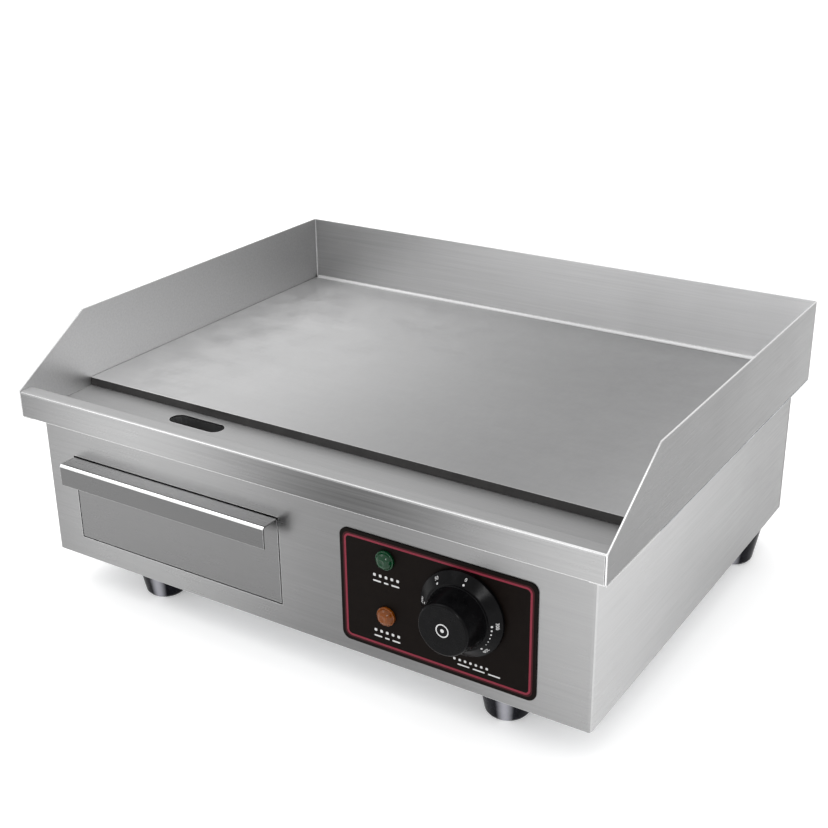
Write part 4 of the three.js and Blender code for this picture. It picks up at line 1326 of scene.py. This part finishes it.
@dataclass
class Case:
    """Folded case: front and sides in one sheet, and the rear cover."""

    finishes: Finishes
    sheet: float = 1.2 * MM
    front_radius: float = 3.0 * MM
    rear_radius: float = 1.4 * MM
    flange: float = 18.0 * MM
    drawer_reveal: float = 1.0 * MM
    shell_ease: float = 0.3 * MM
    cover_ease: float = 0.25 * MM
    gland_hole: float = 10.3 * MM
    stud_hole: float = 3.3 * MM
    vent_pitch: float = 52.0 * MM
    vent_rows: tuple[float, float] = (112.0 * MM, 130.0 * MM)
    vent_tool: Vector = field(default_factory=lambda: Vector((40.0, 12.0, 6.0)) * MM)

    def build_shell(self) -> bpy.types.Object:
        """Fold the front, sides and rear flanges, and cut the drawer's and the controls' openings.

        Returns:
            The case shell.
        """
        low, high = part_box("body_shell")
        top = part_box("rear_panel")[1].z
        corners = [
            Vector((low.x + self.flange, high.y, low.z)),
            Vector((low.x, high.y, low.z)),
            Vector((low.x, low.y, low.z)),
            Vector((high.x, low.y, low.z)),
            Vector((high.x, high.y, low.z)),
            Vector((high.x - self.flange, high.y, low.z)),
        ]
        bends = {1: self.rear_radius, 2: self.front_radius, 3: self.front_radius, 4: self.rear_radius}
        shell = fold_sheet("case_wrap", corners, (top - low.z) * UP, BACK, bends)
        edit(shell)
        choose(Element.EDGE, lambda centre, _: near(centre, Vector((0, low.y, top))))
        bpy.ops.mesh.extrude_region_move(TRANSFORM_OT_translate={"value": (0, 0, high.z - top)})
        leave_edit()
        thicken(shell, self.sheet)
        cut(shell, self.drawer_tool(low.y), *control_tools(low.y), *self.rear_tools(high.y))
        ease_edges(shell, self.shell_ease)
        dress(shell, self.finishes.front, self.finishes.side)
        # Faces turned sideways take the side copy, lighter as painted light.
        for polygon in shell.data.polygons:
            polygon.material_index = 1 if abs(polygon.normal.x) > 0.75 else 0
        return fit(shell, Body.CHASSIS, Slot.CASE, "body_shell")

    def drawer_tool(self, face: float) -> bpy.types.Object:
        """Make the cutter for the drawer's opening."""
        low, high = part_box("drawer_front")
        gap = self.drawer_reveal
        first = (low.x - gap, face - TOOL_REACH, low.z - gap)
        return start_block("drawer_tool", first, (high.x + gap, face + TOOL_REACH, high.z + gap))

    def rear_tools(self, face: float) -> list[bpy.types.Object]:
        """Make the cutters for the four rear screws."""
        return [hole_tool(f"rear_screw_{number}", SCREW_HOLE, face) for number in range(1, 5)]

    def build_rear(self) -> bpy.types.Object:
        """Cut the flat rear cover with its cooling slots and holes.

        Returns:
            The rear cover.
        """
        low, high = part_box("rear_panel")
        cover = start_block("rear_cover", low, high)
        tools = []
        for height in self.vent_rows:
            for column in range(-2, 3):
                centre = Vector((column * self.vent_pitch, high.y, height))
                tools.append(slot_tool(centre, self.vent_tool, BACK))
        tools.append(hole_tool("gland_locknut", self.gland_hole, high.y))
        tools.append(hole_tool("earth_stud", self.stud_hole, high.y))
        cut(cover, *tools, *self.rear_tools(high.y))
        ease_edges(cover, self.cover_ease)
        dress(cover, self.finishes.front)
        return fit(cover, Body.CHASSIS, Slot.CASE, "rear_panel")

    def build(self) -> None:
        """Build the whole case."""
        self.build_shell()
        self.build_rear()


@dataclass
class Drawer:
    """Drip drawer: its front with the finger pull, and its box."""

    finishes: Finishes
    front_sheet: float = 1.5 * MM
    box_sheet: float = 1.2 * MM
    top_radius: float = 2.2 * MM
    lip_radius: float = 3.0 * MM
    lip_depth: float = 19.5 * MM
    box_corner: float = 4.0 * MM
    box_foot: float = 3.0 * MM
    edge_ease: float = 0.3 * MM
    level_reach: float = 0.1 * MM

    def build_front(self) -> bpy.types.Object:
        """Fold the front out and down into the pull.

        Returns:
            The drawer front.
        """
        low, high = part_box("drawer_front")
        section = [(high.y, low.z), (high.y, high.z), (low.y, high.z), (low.y, high.z - self.lip_depth)]
        corners = [Vector((low.x, y, z)) for y, z in section]
        bends = {1: self.top_radius, 2: self.lip_radius}
        run = Vector((high.x - low.x, 0, 0))
        front = fold_sheet("drawer_face_and_pull", corners, run, BACK, bends, 8)
        thicken(front, self.front_sheet)
        ease_edges(front, self.edge_ease)
        coats = (self.finishes.drawer, self.finishes.lip, self.finishes.flange, self.finishes.bright_edge)
        dress(front, *coats)
        for polygon in front.data.polygons:
            polygon.material_index = self.coat_index(polygon, low.y)
        return fit(front, Body.DRAWER, Slot.CASE, "drawer_front")

    def coat_index(self, polygon: bpy.types.MeshPolygon, foremost: float) -> int:
        """Choose a face's finish: face sheet, hanging lip in painted shade, top of the pull in painted light,
        or its outer bend with a painted highlight.
        """
        normal = polygon.normal
        on_lip = polygon.center.y < foremost + self.lip_radius
        if on_lip and normal.z > 0.2 and normal.y < -0.2:
            return 3
        if normal.z > 0.9:
            return 2
        return 1 if on_lip else 0

    def build_box(self) -> bpy.types.Object:
        """Draw the open-topped box with rounded corners and foot.

        Returns:
            The drawer box.
        """
        low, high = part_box("drawer_box")
        box = start_block("drawer_tray", low, high)
        round_corners(box, UP, self.box_corner, 6)
        edit(box)
        choose(Element.FACE, lambda centre, _: centre.z > high.z - self.level_reach)
        bpy.ops.mesh.delete(type="FACE")
        choose(Element.EDGE, lambda centre, _: centre.z < low.z + self.level_reach)
        bpy.ops.mesh.bevel(offset=self.box_foot, segments=5, affect="EDGES")
        leave_edit()
        thicken(box, self.box_sheet)
        ease_edges(box, self.edge_ease)
        dress(box, self.finishes.inner)
        return fit(box, Body.DRAWER, Slot.CASE, "drawer_box")

    def build(self) -> None:
        """Build the whole drawer."""
        self.build_front()
        self.build_box()


@dataclass
class Feet:
    """Four tapered rubber feet and the screws inside them."""

    finishes: Finishes
    top_radius: float = 24.0 * MM
    bottom_radius: float = 18.0 * MM
    toe_radius: float = 15.5 * MM
    toe_height: float = 3.0 * MM
    recess_radius: float = 8.0 * MM
    recess_depth: float = 14.0 * MM
    bore_radius: float = 3.3 * MM
    shoulder: float = 1.5 * MM
    edge_ease: float = 0.9 * MM

    def build(self) -> None:
        """Turn one foot and copy it to the other corners."""
        first_low, first_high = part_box(f"foot_{FOOT_PLACES[0]}")
        axis = (first_low + first_high) / 2
        base = Vector((axis.x, axis.y, first_low.z))
        height = first_high.z - first_low.z
        profile = [
            (self.bore_radius, self.recess_depth),
            (self.recess_radius, self.recess_depth),
            (self.recess_radius, 0.0),
            (self.toe_radius, 0.0),
            (self.bottom_radius, self.toe_height),
            (self.top_radius, height - self.shoulder),
            (self.top_radius, height),
            (self.bore_radius, height),
            (self.bore_radius, self.recess_depth),
        ]
        foot = spin_profile(f"rubber_foot_{FOOT_PLACES[0]}", profile, base, UP, 64)
        ease_edges(foot, self.edge_ease, 3, 25.0)
        dress(foot, self.finishes.rubber[FOOT_PLACES[0]])
        fit(foot, Body.CHASSIS, Slot.RUBBER, f"foot_{FOOT_PLACES[0]}")
        for place in FOOT_PLACES[1:]:
            low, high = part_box(f"foot_{place}")
            move = (low + high) / 2 - axis
            twin = copy_of(foot, f"rubber_foot_{place}", move)
            dress(twin, self.finishes.rubber[place])
            fit(twin, Body.CHASSIS, Slot.RUBBER, f"foot_{place}")
        for place in FOOT_PLACES:
            dress(frame["nodes"][f"foot_screw_{place}"], self.finishes.zinc)


@dataclass(frozen=True)
class PrintRow:
    """A row of plain printed blocks below a control."""

    below: float
    pitch: float
    height: float
    widths: tuple[float, ...]
    shift: float = 0.0


LAMP_ROWS = (
    PrintRow(7.5 * MM, 5.2 * MM, 2.4 * MM, (2.4 * MM,) * 5),
    PrintRow(12.5 * MM, 8.2 * MM, 1.3 * MM, (7.0 * MM, 4.0 * MM, 7.0 * MM)),
)
DIAL_ROWS = (
    PrintRow(7.5 * MM, 4.6 * MM, 2.0 * MM, (2.0 * MM,) * 7, 6 * MM),
    PrintRow(11.5 * MM, 13 * MM, 1.1 * MM, (10.0 * MM,) * 3, 13 * MM),
)


@dataclass
class Controls:
    """Facia with its prints, pilot-lamp lenses and the dial."""

    finishes: Finishes
    corner_radius: float = 7.0 * MM
    border_inset: float = 4.2 * MM
    border_width: float = 1.7 * MM
    shade_width: float = 1.3 * MM
    facia_ease: float = 0.2 * MM
    print_proud: float = 0.08 * MM
    lens_radius: float = 8.0 * MM
    lens_ease: float = 0.18 * MM
    first_mark: float = 80.0
    mark_step: float = 47.0
    last_value: int = 300
    value_step: int = 50
    number_size: float = 2.7 * MM
    number_radius: float = 31.6 * MM
    dots_radius: float = 28.4 * MM
    dot_size: float = 0.85 * MM
    tail_dots: int = 5
    tail_size: float = 0.82 * MM
    tail_taper: float = 0.09 * MM
    tail_step: float = 7.0
    mark_proud: float = 0.12 * MM
    mark_lift: float = 0.02 * MM
    ring_outer: float = 5.4 * MM
    ring_inner: float = 4.5 * MM
    ring_dot: float = 1.5 * MM
    ring_depth: float = 0.2 * MM
    skirt_radius: float = 35.0 * MM
    skirt_inner: float = 27.0 * MM
    skirt_low: float = 3.6 * MM
    skirt_high: float = 9.6 * MM
    skirt_gap: float = 1.1 * MM
    skirt_web: float = 3.0 * MM
    skirt_hollow: float = 32.0 * MM
    hollow_radius: float = 24.0 * MM
    hollow_depth: float = 7.0 * MM
    hub_radius: float = 6.5 * MM
    hub_start: float = 1.6 * MM
    hub_bore: float = 3.3 * MM
    bore_depth: float = 17.0 * MM
    grip_radius: float = 25.0 * MM
    shoulder_radius: float = 20.9 * MM
    shoulder_drop: float = 1.2 * MM
    face_radius: float = 19.8 * MM
    dial_ease: float = 0.45 * MM

    def build_facia(self) -> bpy.types.Object:
        """Cut the facia plate with its rounded corners and holes."""
        low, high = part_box("control_panel")
        facia = start_block("facia_plate", low, high)
        round_corners(facia, BACK, self.corner_radius, 10)
        cut(facia, *control_tools(low.y))
        ease_edges(facia, self.facia_ease)
        dress(facia, self.finishes.panel)
        return fit(facia, Body.CHASSIS, Slot.PANEL, "control_panel")

    def build_border(
        self, name: str, inset: float, width: float, ink: bpy.types.Material
    ) -> bpy.types.Object:
        """Print one thin border line round the facia.

        Args:
            name: The line's name.
            inset: Its distance from the facia's edge.
            width: Its width.
            ink: Its ink.

        Returns:
            The border.
        """
        low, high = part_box("control_panel")
        face = low.y - self.print_proud
        outer_low = Vector((low.x + inset, face, low.z + inset))
        outer_high = Vector((high.x - inset, low.y, high.z - inset))
        border = start_block(name, outer_low, outer_high)
        radius = self.corner_radius - inset / 2
        round_corners(border, BACK, radius, 8)
        step = Vector((width, 0, width))
        spare = MM * BACK
        tool = start_block("border_tool", outer_low + step - spare, outer_high - step + spare)
        round_corners(tool, BACK, radius - width, 8)
        cut(border, tool)
        dress(border, ink)
        return fit(border, Body.CHASSIS, Slot.PANEL)

    def printed_square(self, x: float, z: float, width: float, height: float) -> bpy.types.Object:
        """Print one small rounded block on the facia.

        Args:
            x: Its middle.
            z: Its middle.
            width: Its width.
            height: Its height.

        Returns:
            The block.
        """
        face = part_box("control_panel")[0].y
        low = (x - width / 2, face - self.print_proud, z - height / 2)
        block = start_block("print", low, (x + width / 2, face, z + height / 2))
        round_corners(block, BACK, min(width, height) * 0.3, 3)
        return block

    def printed_row(self, node: str, row: PrintRow) -> list[bpy.types.Object]:
        """Print one row of blocks below a control."""
        low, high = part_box(node)
        middle = (low.x + high.x) / 2 + row.shift
        return [
            self.printed_square(middle + step * row.pitch, low.z - row.below, width, row.height)
            for step, width in enumerate(row.widths, -(len(row.widths) // 2))
        ]

    def build_prints(self) -> bpy.types.Object:
        """Print plain blocks and bars where the controls are labelled, with no lettering.

        Returns:
            The prints.
        """
        rows = {"lamp_lens_green": LAMP_ROWS, "lamp_lens_amber": LAMP_ROWS, "dial_knob": DIAL_ROWS}
        prints = []
        for node, node_rows in rows.items():
            for row in node_rows:
                prints += self.printed_row(node, row)
        label = weld("facia_white_prints", prints)
        dress(label, self.finishes.white_ink)
        return fit(label, Body.CHASSIS, Slot.PANEL)

    def build_lens(
        self, node: str, name: str, material: bpy.types.Material, slot: Slot
    ) -> bpy.types.Object:
        """Turn one pilot-lamp lens with a flange and a faceted dome.

        Args:
            node: The frame's node that it stands for.
            name: The lens's name.
            material: Its tint.
            slot: The record's slot for it.

        Returns:
            The lens.
        """
        low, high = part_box(node)
        reach = high.y - low.y
        radius = self.lens_radius
        profile = [
            (0.0, 0.0),
            (radius, 0.0),
            (radius, 0.3 * reach),
            (0.9 * radius, 0.36 * reach),
            (0.82 * radius, 0.6 * reach),
            (0.62 * radius, 0.86 * reach),
            (0.34 * radius, reach),
            (0.16 * radius, 0.9 * reach),
            (0.0, 0.86 * reach),
        ]
        lens = spin_profile(name, profile, on_axis(node, high.y), FRONT, 16)
        ease_edges(lens, self.lens_ease, 2, 30.0)
        dress(lens, material)
        return fit(lens, Body.CHASSIS, slot, node)

    def build_dial(self) -> bpy.types.Object:
        """Turn the skirted dial, hollow behind.

        Returns:
            The dial.
        """
        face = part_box("control_panel")[0].y
        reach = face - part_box("dial_knob")[0].y
        profile = [
            (0.0, self.bore_depth),
            (self.hub_bore, self.bore_depth),
            (self.hub_bore, self.hub_start),
            (self.hub_radius, self.hub_start),
            (self.hub_radius, self.hollow_depth),
            (self.hollow_radius, self.hollow_depth),
            (self.skirt_hollow, self.skirt_web),
            (self.skirt_hollow, self.skirt_gap),
            (self.skirt_radius, self.skirt_gap),
            (self.skirt_radius, self.skirt_low),
            (self.skirt_inner, self.skirt_high),
            (self.grip_radius, self.skirt_high),
            (self.shoulder_radius, reach - self.shoulder_drop),
            (self.face_radius, reach - self.mark_proud),
            (0.0, reach - self.mark_proud),
        ]
        dial = spin_profile("dial_and_skirt", profile, on_axis("dial_knob", face), FRONT, 96)
        ease_edges(dial, self.dial_ease, 3, 25.0)
        dress(dial, self.finishes.knob)
        return fit(dial, Body.DIAL, Slot.PLASTIC, "dial_knob")

    def on_skirt(self, angle: float, radius: float) -> Matrix:
        """Find a mark's place and turn on the dial's sloping skirt.

        Args:
            angle: Degrees anticlockwise from the right, seen from the front.
            radius: Distance from the dial's axis.

        Returns:
            The matrix that puts a flat mark there, its top outwards.
        """
        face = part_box("control_panel")[0].y
        turn = math.radians(angle)
        radial = Vector((math.cos(turn), 0, math.sin(turn)))
        run = self.skirt_radius - self.skirt_inner
        rise = self.skirt_high - self.skirt_low
        height = self.skirt_low + (self.skirt_radius - radius) * rise / run
        normal = (radial * rise + FRONT * run).normalized()
        outward = (radial * run - FRONT * rise).normalized()
        place = on_axis("dial_knob", face) + radial * radius + FRONT * (height + self.mark_lift)
        turned = Matrix((outward.cross(normal), outward, normal)).transposed().to_4x4()
        return Matrix.Translation(place) @ turned

    def number(self, text: str, size: float) -> bpy.types.Object:
        """Cut a plain number as a thin mesh at the origin.

        Args:
            text: The digits.
            size: Their height.

        Returns:
            The number.
        """
        clear_selection()
        bpy.ops.object.text_add()
        label = bpy.context.object
        label.data.body = text
        label.data.size = size * 1.4
        label.data.align_x = "CENTER"
        label.data.align_y = "CENTER"
        label.data.extrude = self.print_proud
        label.data.offset = 0.03 * MM
        label.data.resolution_u = 3
        make_active(label)
        bpy.ops.object.convert(target="MESH")
        return bpy.context.object

    def skirt_dot(self, angle: float, size: float, sides: int) -> bpy.types.Object:
        """Print one dot on the dial's skirt."""
        half = self.print_proud * UP
        dot = start_rod("dot", size, -half, half, sides)
        dot.data.transform(self.on_skirt(angle, self.dots_radius))
        return dot

    def build_marks(self) -> bpy.types.Object:
        """Print the scale on the dial's skirt and the ring on its face.

        Returns:
            The marks.
        """
        marks = []
        angle = self.first_mark
        for step, value in enumerate(range(0, self.last_value + 1, self.value_step)):
            angle = self.first_mark + step * self.mark_step
            number = self.number(str(value), self.number_size)
            number.data.transform(self.on_skirt(angle, self.number_radius))
            marks += [number, self.skirt_dot(angle, self.dot_size, 20)]
        for step in range(1, self.tail_dots + 1):
            size = self.tail_size - self.tail_taper * step
            marks.append(self.skirt_dot(angle - self.tail_step * step, size, 16))
        marks.append(self.face_ring())
        scale = weld("dial_scale", marks)
        dress(scale, self.finishes.white_ink)
        return fit(scale, Body.DIAL, Slot.PLASTIC)

    def face_ring(self) -> bpy.types.Object:
        """Print a plain ring round a dot in the middle of the dial's face."""
        axis = on_axis("dial_knob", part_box("dial_knob")[0].y + self.mark_lift)
        behind = self.ring_depth * BACK
        ring = start_rod("ring", self.ring_outer, axis, axis + behind, 48)
        cut(ring, start_rod("ring_tool", self.ring_inner, axis - behind, axis + 2 * behind, 48))
        dot = start_rod("dot", self.ring_dot, axis, axis + behind, 24)
        return weld("ring", [ring, dot])

    def build(self) -> None:
        """Build the whole control side."""
        self.build_facia()
        shade_inset = self.border_inset - self.shade_width
        self.build_border("facia_border_shade", shade_inset, self.shade_width, self.finishes.dark_red_ink)
        self.build_border("facia_border_line", self.border_inset, self.border_width, self.finishes.red_ink)
        self.build_prints()
        self.build_lens("lamp_lens_green", "green_lens", self.finishes.green, Slot.GREEN)
        self.build_lens("lamp_lens_amber", "amber_lens", self.finishes.amber, Slot.AMBER)
        self.build_dial()
        self.build_marks()


@dataclass
class RearFittings:
    """Cable gland and rear screws."""

    finishes: Finishes
    head_radius: float = 3.8 * MM
    shank_radius: float = 1.9 * MM
    tip: float = 1.6 * MM
    recess: float = 0.9 * MM
    arm_length: float = 2.1 * MM
    arm_width: float = 0.42 * MM
    screw_ease: float = 0.12 * MM
    gland_bore: float = 5.0 * MM
    bore_ease: float = 0.6 * MM
    flutes: int = 12
    flute_radius: float = 0.9 * MM
    flute_out: float = 0.25 * MM
    gland_ease: float = 0.25 * MM

    def build_screws(self) -> None:
        """Turn one pan-head screw with a cross recess and copy it to the other corners."""
        low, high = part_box("rear_screw_1")
        centre = on_axis("rear_screw_1", low.y)
        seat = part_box("rear_panel")[1].y + CLEARANCE - low.y
        top = high.y - low.y
        rise = top - seat
        profile = [
            (0.0, 0.0),
            (0.5 * self.shank_radius, 0.0),
            (self.shank_radius, self.tip),
            (self.shank_radius, seat),
            (self.head_radius, seat),
            (self.head_radius, seat + 0.45 * rise),
            (0.82 * self.head_radius, seat + 0.8 * rise),
            (0.4 * self.head_radius, top),
            (0.0, top),
        ]
        screw = spin_profile("cover_screw_1", profile, centre, BACK, 32)
        head = centre + top * BACK
        arms = [
            Vector((self.arm_length, self.recess, self.arm_width)),
            Vector((self.arm_width, self.recess, self.arm_length)),
        ]
        cut(screw, *(start_block("arm", head - arm, head + arm) for arm in arms))
        ease_edges(screw, self.screw_ease, 2, 30.0)
        dress(screw, self.finishes.zinc)
        fit(screw, Body.CHASSIS, Slot.ZINC, "rear_screw_1")
        for number in range(2, 5):
            node = f"rear_screw_{number}"
            twin = copy_of(screw, f"cover_screw_{number}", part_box(node)[0] - low)
            fit(twin, Body.CHASSIS, Slot.ZINC, node)

    def build_gland(self) -> None:
        """Turn the gland's domed nut and cut its grip flutes."""
        low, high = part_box("gland_dome")
        centre = on_axis("gland_dome", low.y)
        reach = high.y - low.y
        radius = (high.x - low.x) / 2
        bore = self.gland_bore
        profile = [
            (bore, 0.0),
            (0.95 * radius, 0.0),
            (radius, 0.06 * reach),
            (radius, 0.45 * reach),
            (0.93 * radius, 0.68 * reach),
            (0.8 * radius, 0.88 * reach),
            (0.64 * radius, reach),
            (bore + self.bore_ease, reach),
            (bore, 0.95 * reach),
            (bore, 0.0),
        ]
        dome = spin_profile("gland_cap", profile, centre, BACK, 48)
        tools = []
        for step in range(self.flutes):
            turn = math.tau * step / self.flutes
            side = Vector((math.cos(turn), 0, math.sin(turn))) * (radius + self.flute_out)
            start = centre + side - MM * BACK
            tools.append(start_rod("flute", self.flute_radius, start, start + 0.5 * reach * BACK, 12))
        cut(dome, *tools)
        ease_edges(dome, self.gland_ease, 2, 30.0)
        dress(dome, self.finishes.gland)
        fit(dome, Body.CHASSIS, Slot.PLASTIC, "gland_dome")

    def build(self) -> None:
        """Build the fittings at the back."""
        self.build_screws()
        self.build_gland()


@dataclass
class InnerWorks:
    """The frame's nodes inside the case and under the plate, which keep their shape."""

    finishes: Finishes

    def build(self) -> None:
        """Dress every node that no finer piece stands for."""
        by_slot = {
            Slot.CASE: self.finishes.inner,
            Slot.GALVANISED: self.finishes.galvanised,
            Slot.ZINC: self.finishes.zinc,
            Slot.ELEMENT: self.finishes.element,
            Slot.COPPER: self.finishes.copper,
            Slot.CERAMIC: self.finishes.fibre,
            Slot.PLASTIC: self.finishes.gland,
            Slot.NYLON: self.finishes.nylon,
        }
        slots = {part["node"]: part["material_slot"] for part in frame["record"]["subparts"]}
        for name, node in frame["nodes"].items():
            if node.hide_render:
                continue
            finish = by_slot[Slot(slots[name])]
            dress(node, finish)
            LOG.info("%s keeps its shape and wears %s", name, finish.name)


@dataclass
class Studio:
    """Pale floor, soft light and the camera."""

    camera_place: Vector = field(default_factory=lambda: Vector((0.5871, -0.9314, 0.6264)))
    azimuth: float = 32.752
    elevation: float = 23.399
    roll: float = -0.752
    lens: float = 58.80
    sensor: float = 36.0
    farthest: float = 200.0
    floor_size: float = 60.0
    floor_glow: float = 0.22
    floor_dark: Colour = (0.93, 0.93, 0.93)
    floor_light: Colour = (0.95, 0.95, 0.95)
    aim: Vector = field(default_factory=lambda: Vector((0, 0, 0.12)))
    sky_bottom: Colour = (0.85, 0.85, 0.85)
    sky_top: Colour = (1.0, 1.0, 1.0)
    sky_top_height: float = 0.8
    sky_strength: float = 1.15

    def build_camera(self) -> None:
        """Set the camera at its viewing angle."""
        data = bpy.data.cameras.new("studio_camera")
        data.lens = self.lens
        data.sensor_width = self.sensor
        data.clip_end = self.farthest
        camera = bpy.data.objects.new("studio_camera", data)
        bpy.context.scene.collection.objects.link(camera)
        turn, rise, tilt = (math.radians(value) for value in (self.azimuth, self.elevation, self.roll))
        back = Vector((math.sin(turn) * math.cos(rise), -math.cos(turn) * math.cos(rise), math.sin(rise)))
        right = Vector((math.cos(turn), math.sin(turn), 0))
        up = back.cross(right)
        across = right * math.cos(tilt) + up * math.sin(tilt)
        upward = up * math.cos(tilt) - right * math.sin(tilt)
        facing = Matrix((across, upward, back)).transposed().to_4x4()
        camera.matrix_world = Matrix.Translation(self.camera_place) @ facing
        bpy.context.scene.camera = camera

    def build_floor(self) -> None:
        """Lay the pale floor."""
        clear_selection()
        bpy.ops.mesh.primitive_plane_add(size=self.floor_size)
        floor = bpy.context.object
        floor.name = "studio_floor"
        material, board, shader = start_material("studio_floor_paint")
        tone = board.noise(board.place(), 3.0, 2.0, 0.5)
        board.feed(shader.inputs["Base Color"], board.blend(tone, self.floor_dark, self.floor_light))
        shader.inputs["Roughness"].default_value = 0.9
        shader.inputs["Emission Color"].default_value = (1, 1, 1, 1)
        shader.inputs["Emission Strength"].default_value = self.floor_glow
        shader.inputs["Specular IOR Level"].default_value = 0.1
        dress(floor, material)

    def build_light(self, name: str, place: Sequence[float], size: float, power: float) -> None:
        """Hang a soft light that faces the griddle.

        Args:
            name: The light's name.
            place: Where it hangs.
            size: Side of its square.
            power: Its power in watts.
        """
        data = bpy.data.lights.new(name, "AREA")
        data.size = size
        data.energy = power
        light = bpy.data.objects.new(name, data)
        light.location = place
        light.rotation_euler = (self.aim - Vector(place)).to_track_quat("-Z", "Y").to_euler()
        bpy.context.scene.collection.objects.link(light)

    def build_world(self) -> None:
        """Light the room: brightest overhead and a little darker below."""
        world = bpy.data.worlds.new("studio_world")
        bpy.context.scene.world = world
        world.use_nodes = True
        board = Board(world.node_tree)
        height = board.add("SeparateXYZ")
        board.feed(height.inputs[0], board.add("TexCoord").outputs["Generated"])
        ramp = board.add("ValToRGB")
        stops = ((0.0, self.sky_bottom), (self.sky_top_height, self.sky_top))
        for element, (position, colour) in zip(ramp.color_ramp.elements, stops):
            element.position = position
            element.color = (*colour, 1.0)
        board.feed(ramp.inputs[0], height.outputs["Z"])
        background = world.node_tree.nodes["Background"]
        board.feed(background.inputs["Color"], ramp.outputs["Color"])
        background.inputs["Strength"].default_value = self.sky_strength

    def build(self) -> None:
        """Build the whole studio."""
        self.build_camera()
        self.build_floor()
        self.build_world()
        self.build_light("key_light", (-1.6, -1.4, 2.4), 1.6, 14.0)
        self.build_light("top_light", (0.0, 0.6, 2.8), 2.0, 12.0)
        self.build_light("near_light", (0.72, -1.45, 0.86), 0.3, 5.0)
        bpy.context.scene.view_settings.view_transform = "Standard"


def main() -> None:
    """Build the griddle's finished pieces in order."""
    logging.basicConfig(level=logging.INFO, format="%(name)s: %(message)s")
    Studio().build()
    finishes = Finishes()
    Tray(finishes).build()
    Case(finishes).build()
    Drawer(finishes).build()
    Feet(finishes).build()
    Controls(finishes).build()
    RearFittings(finishes).build()
    InnerWorks(finishes).build()


if __name__ == "__main__":
    main()
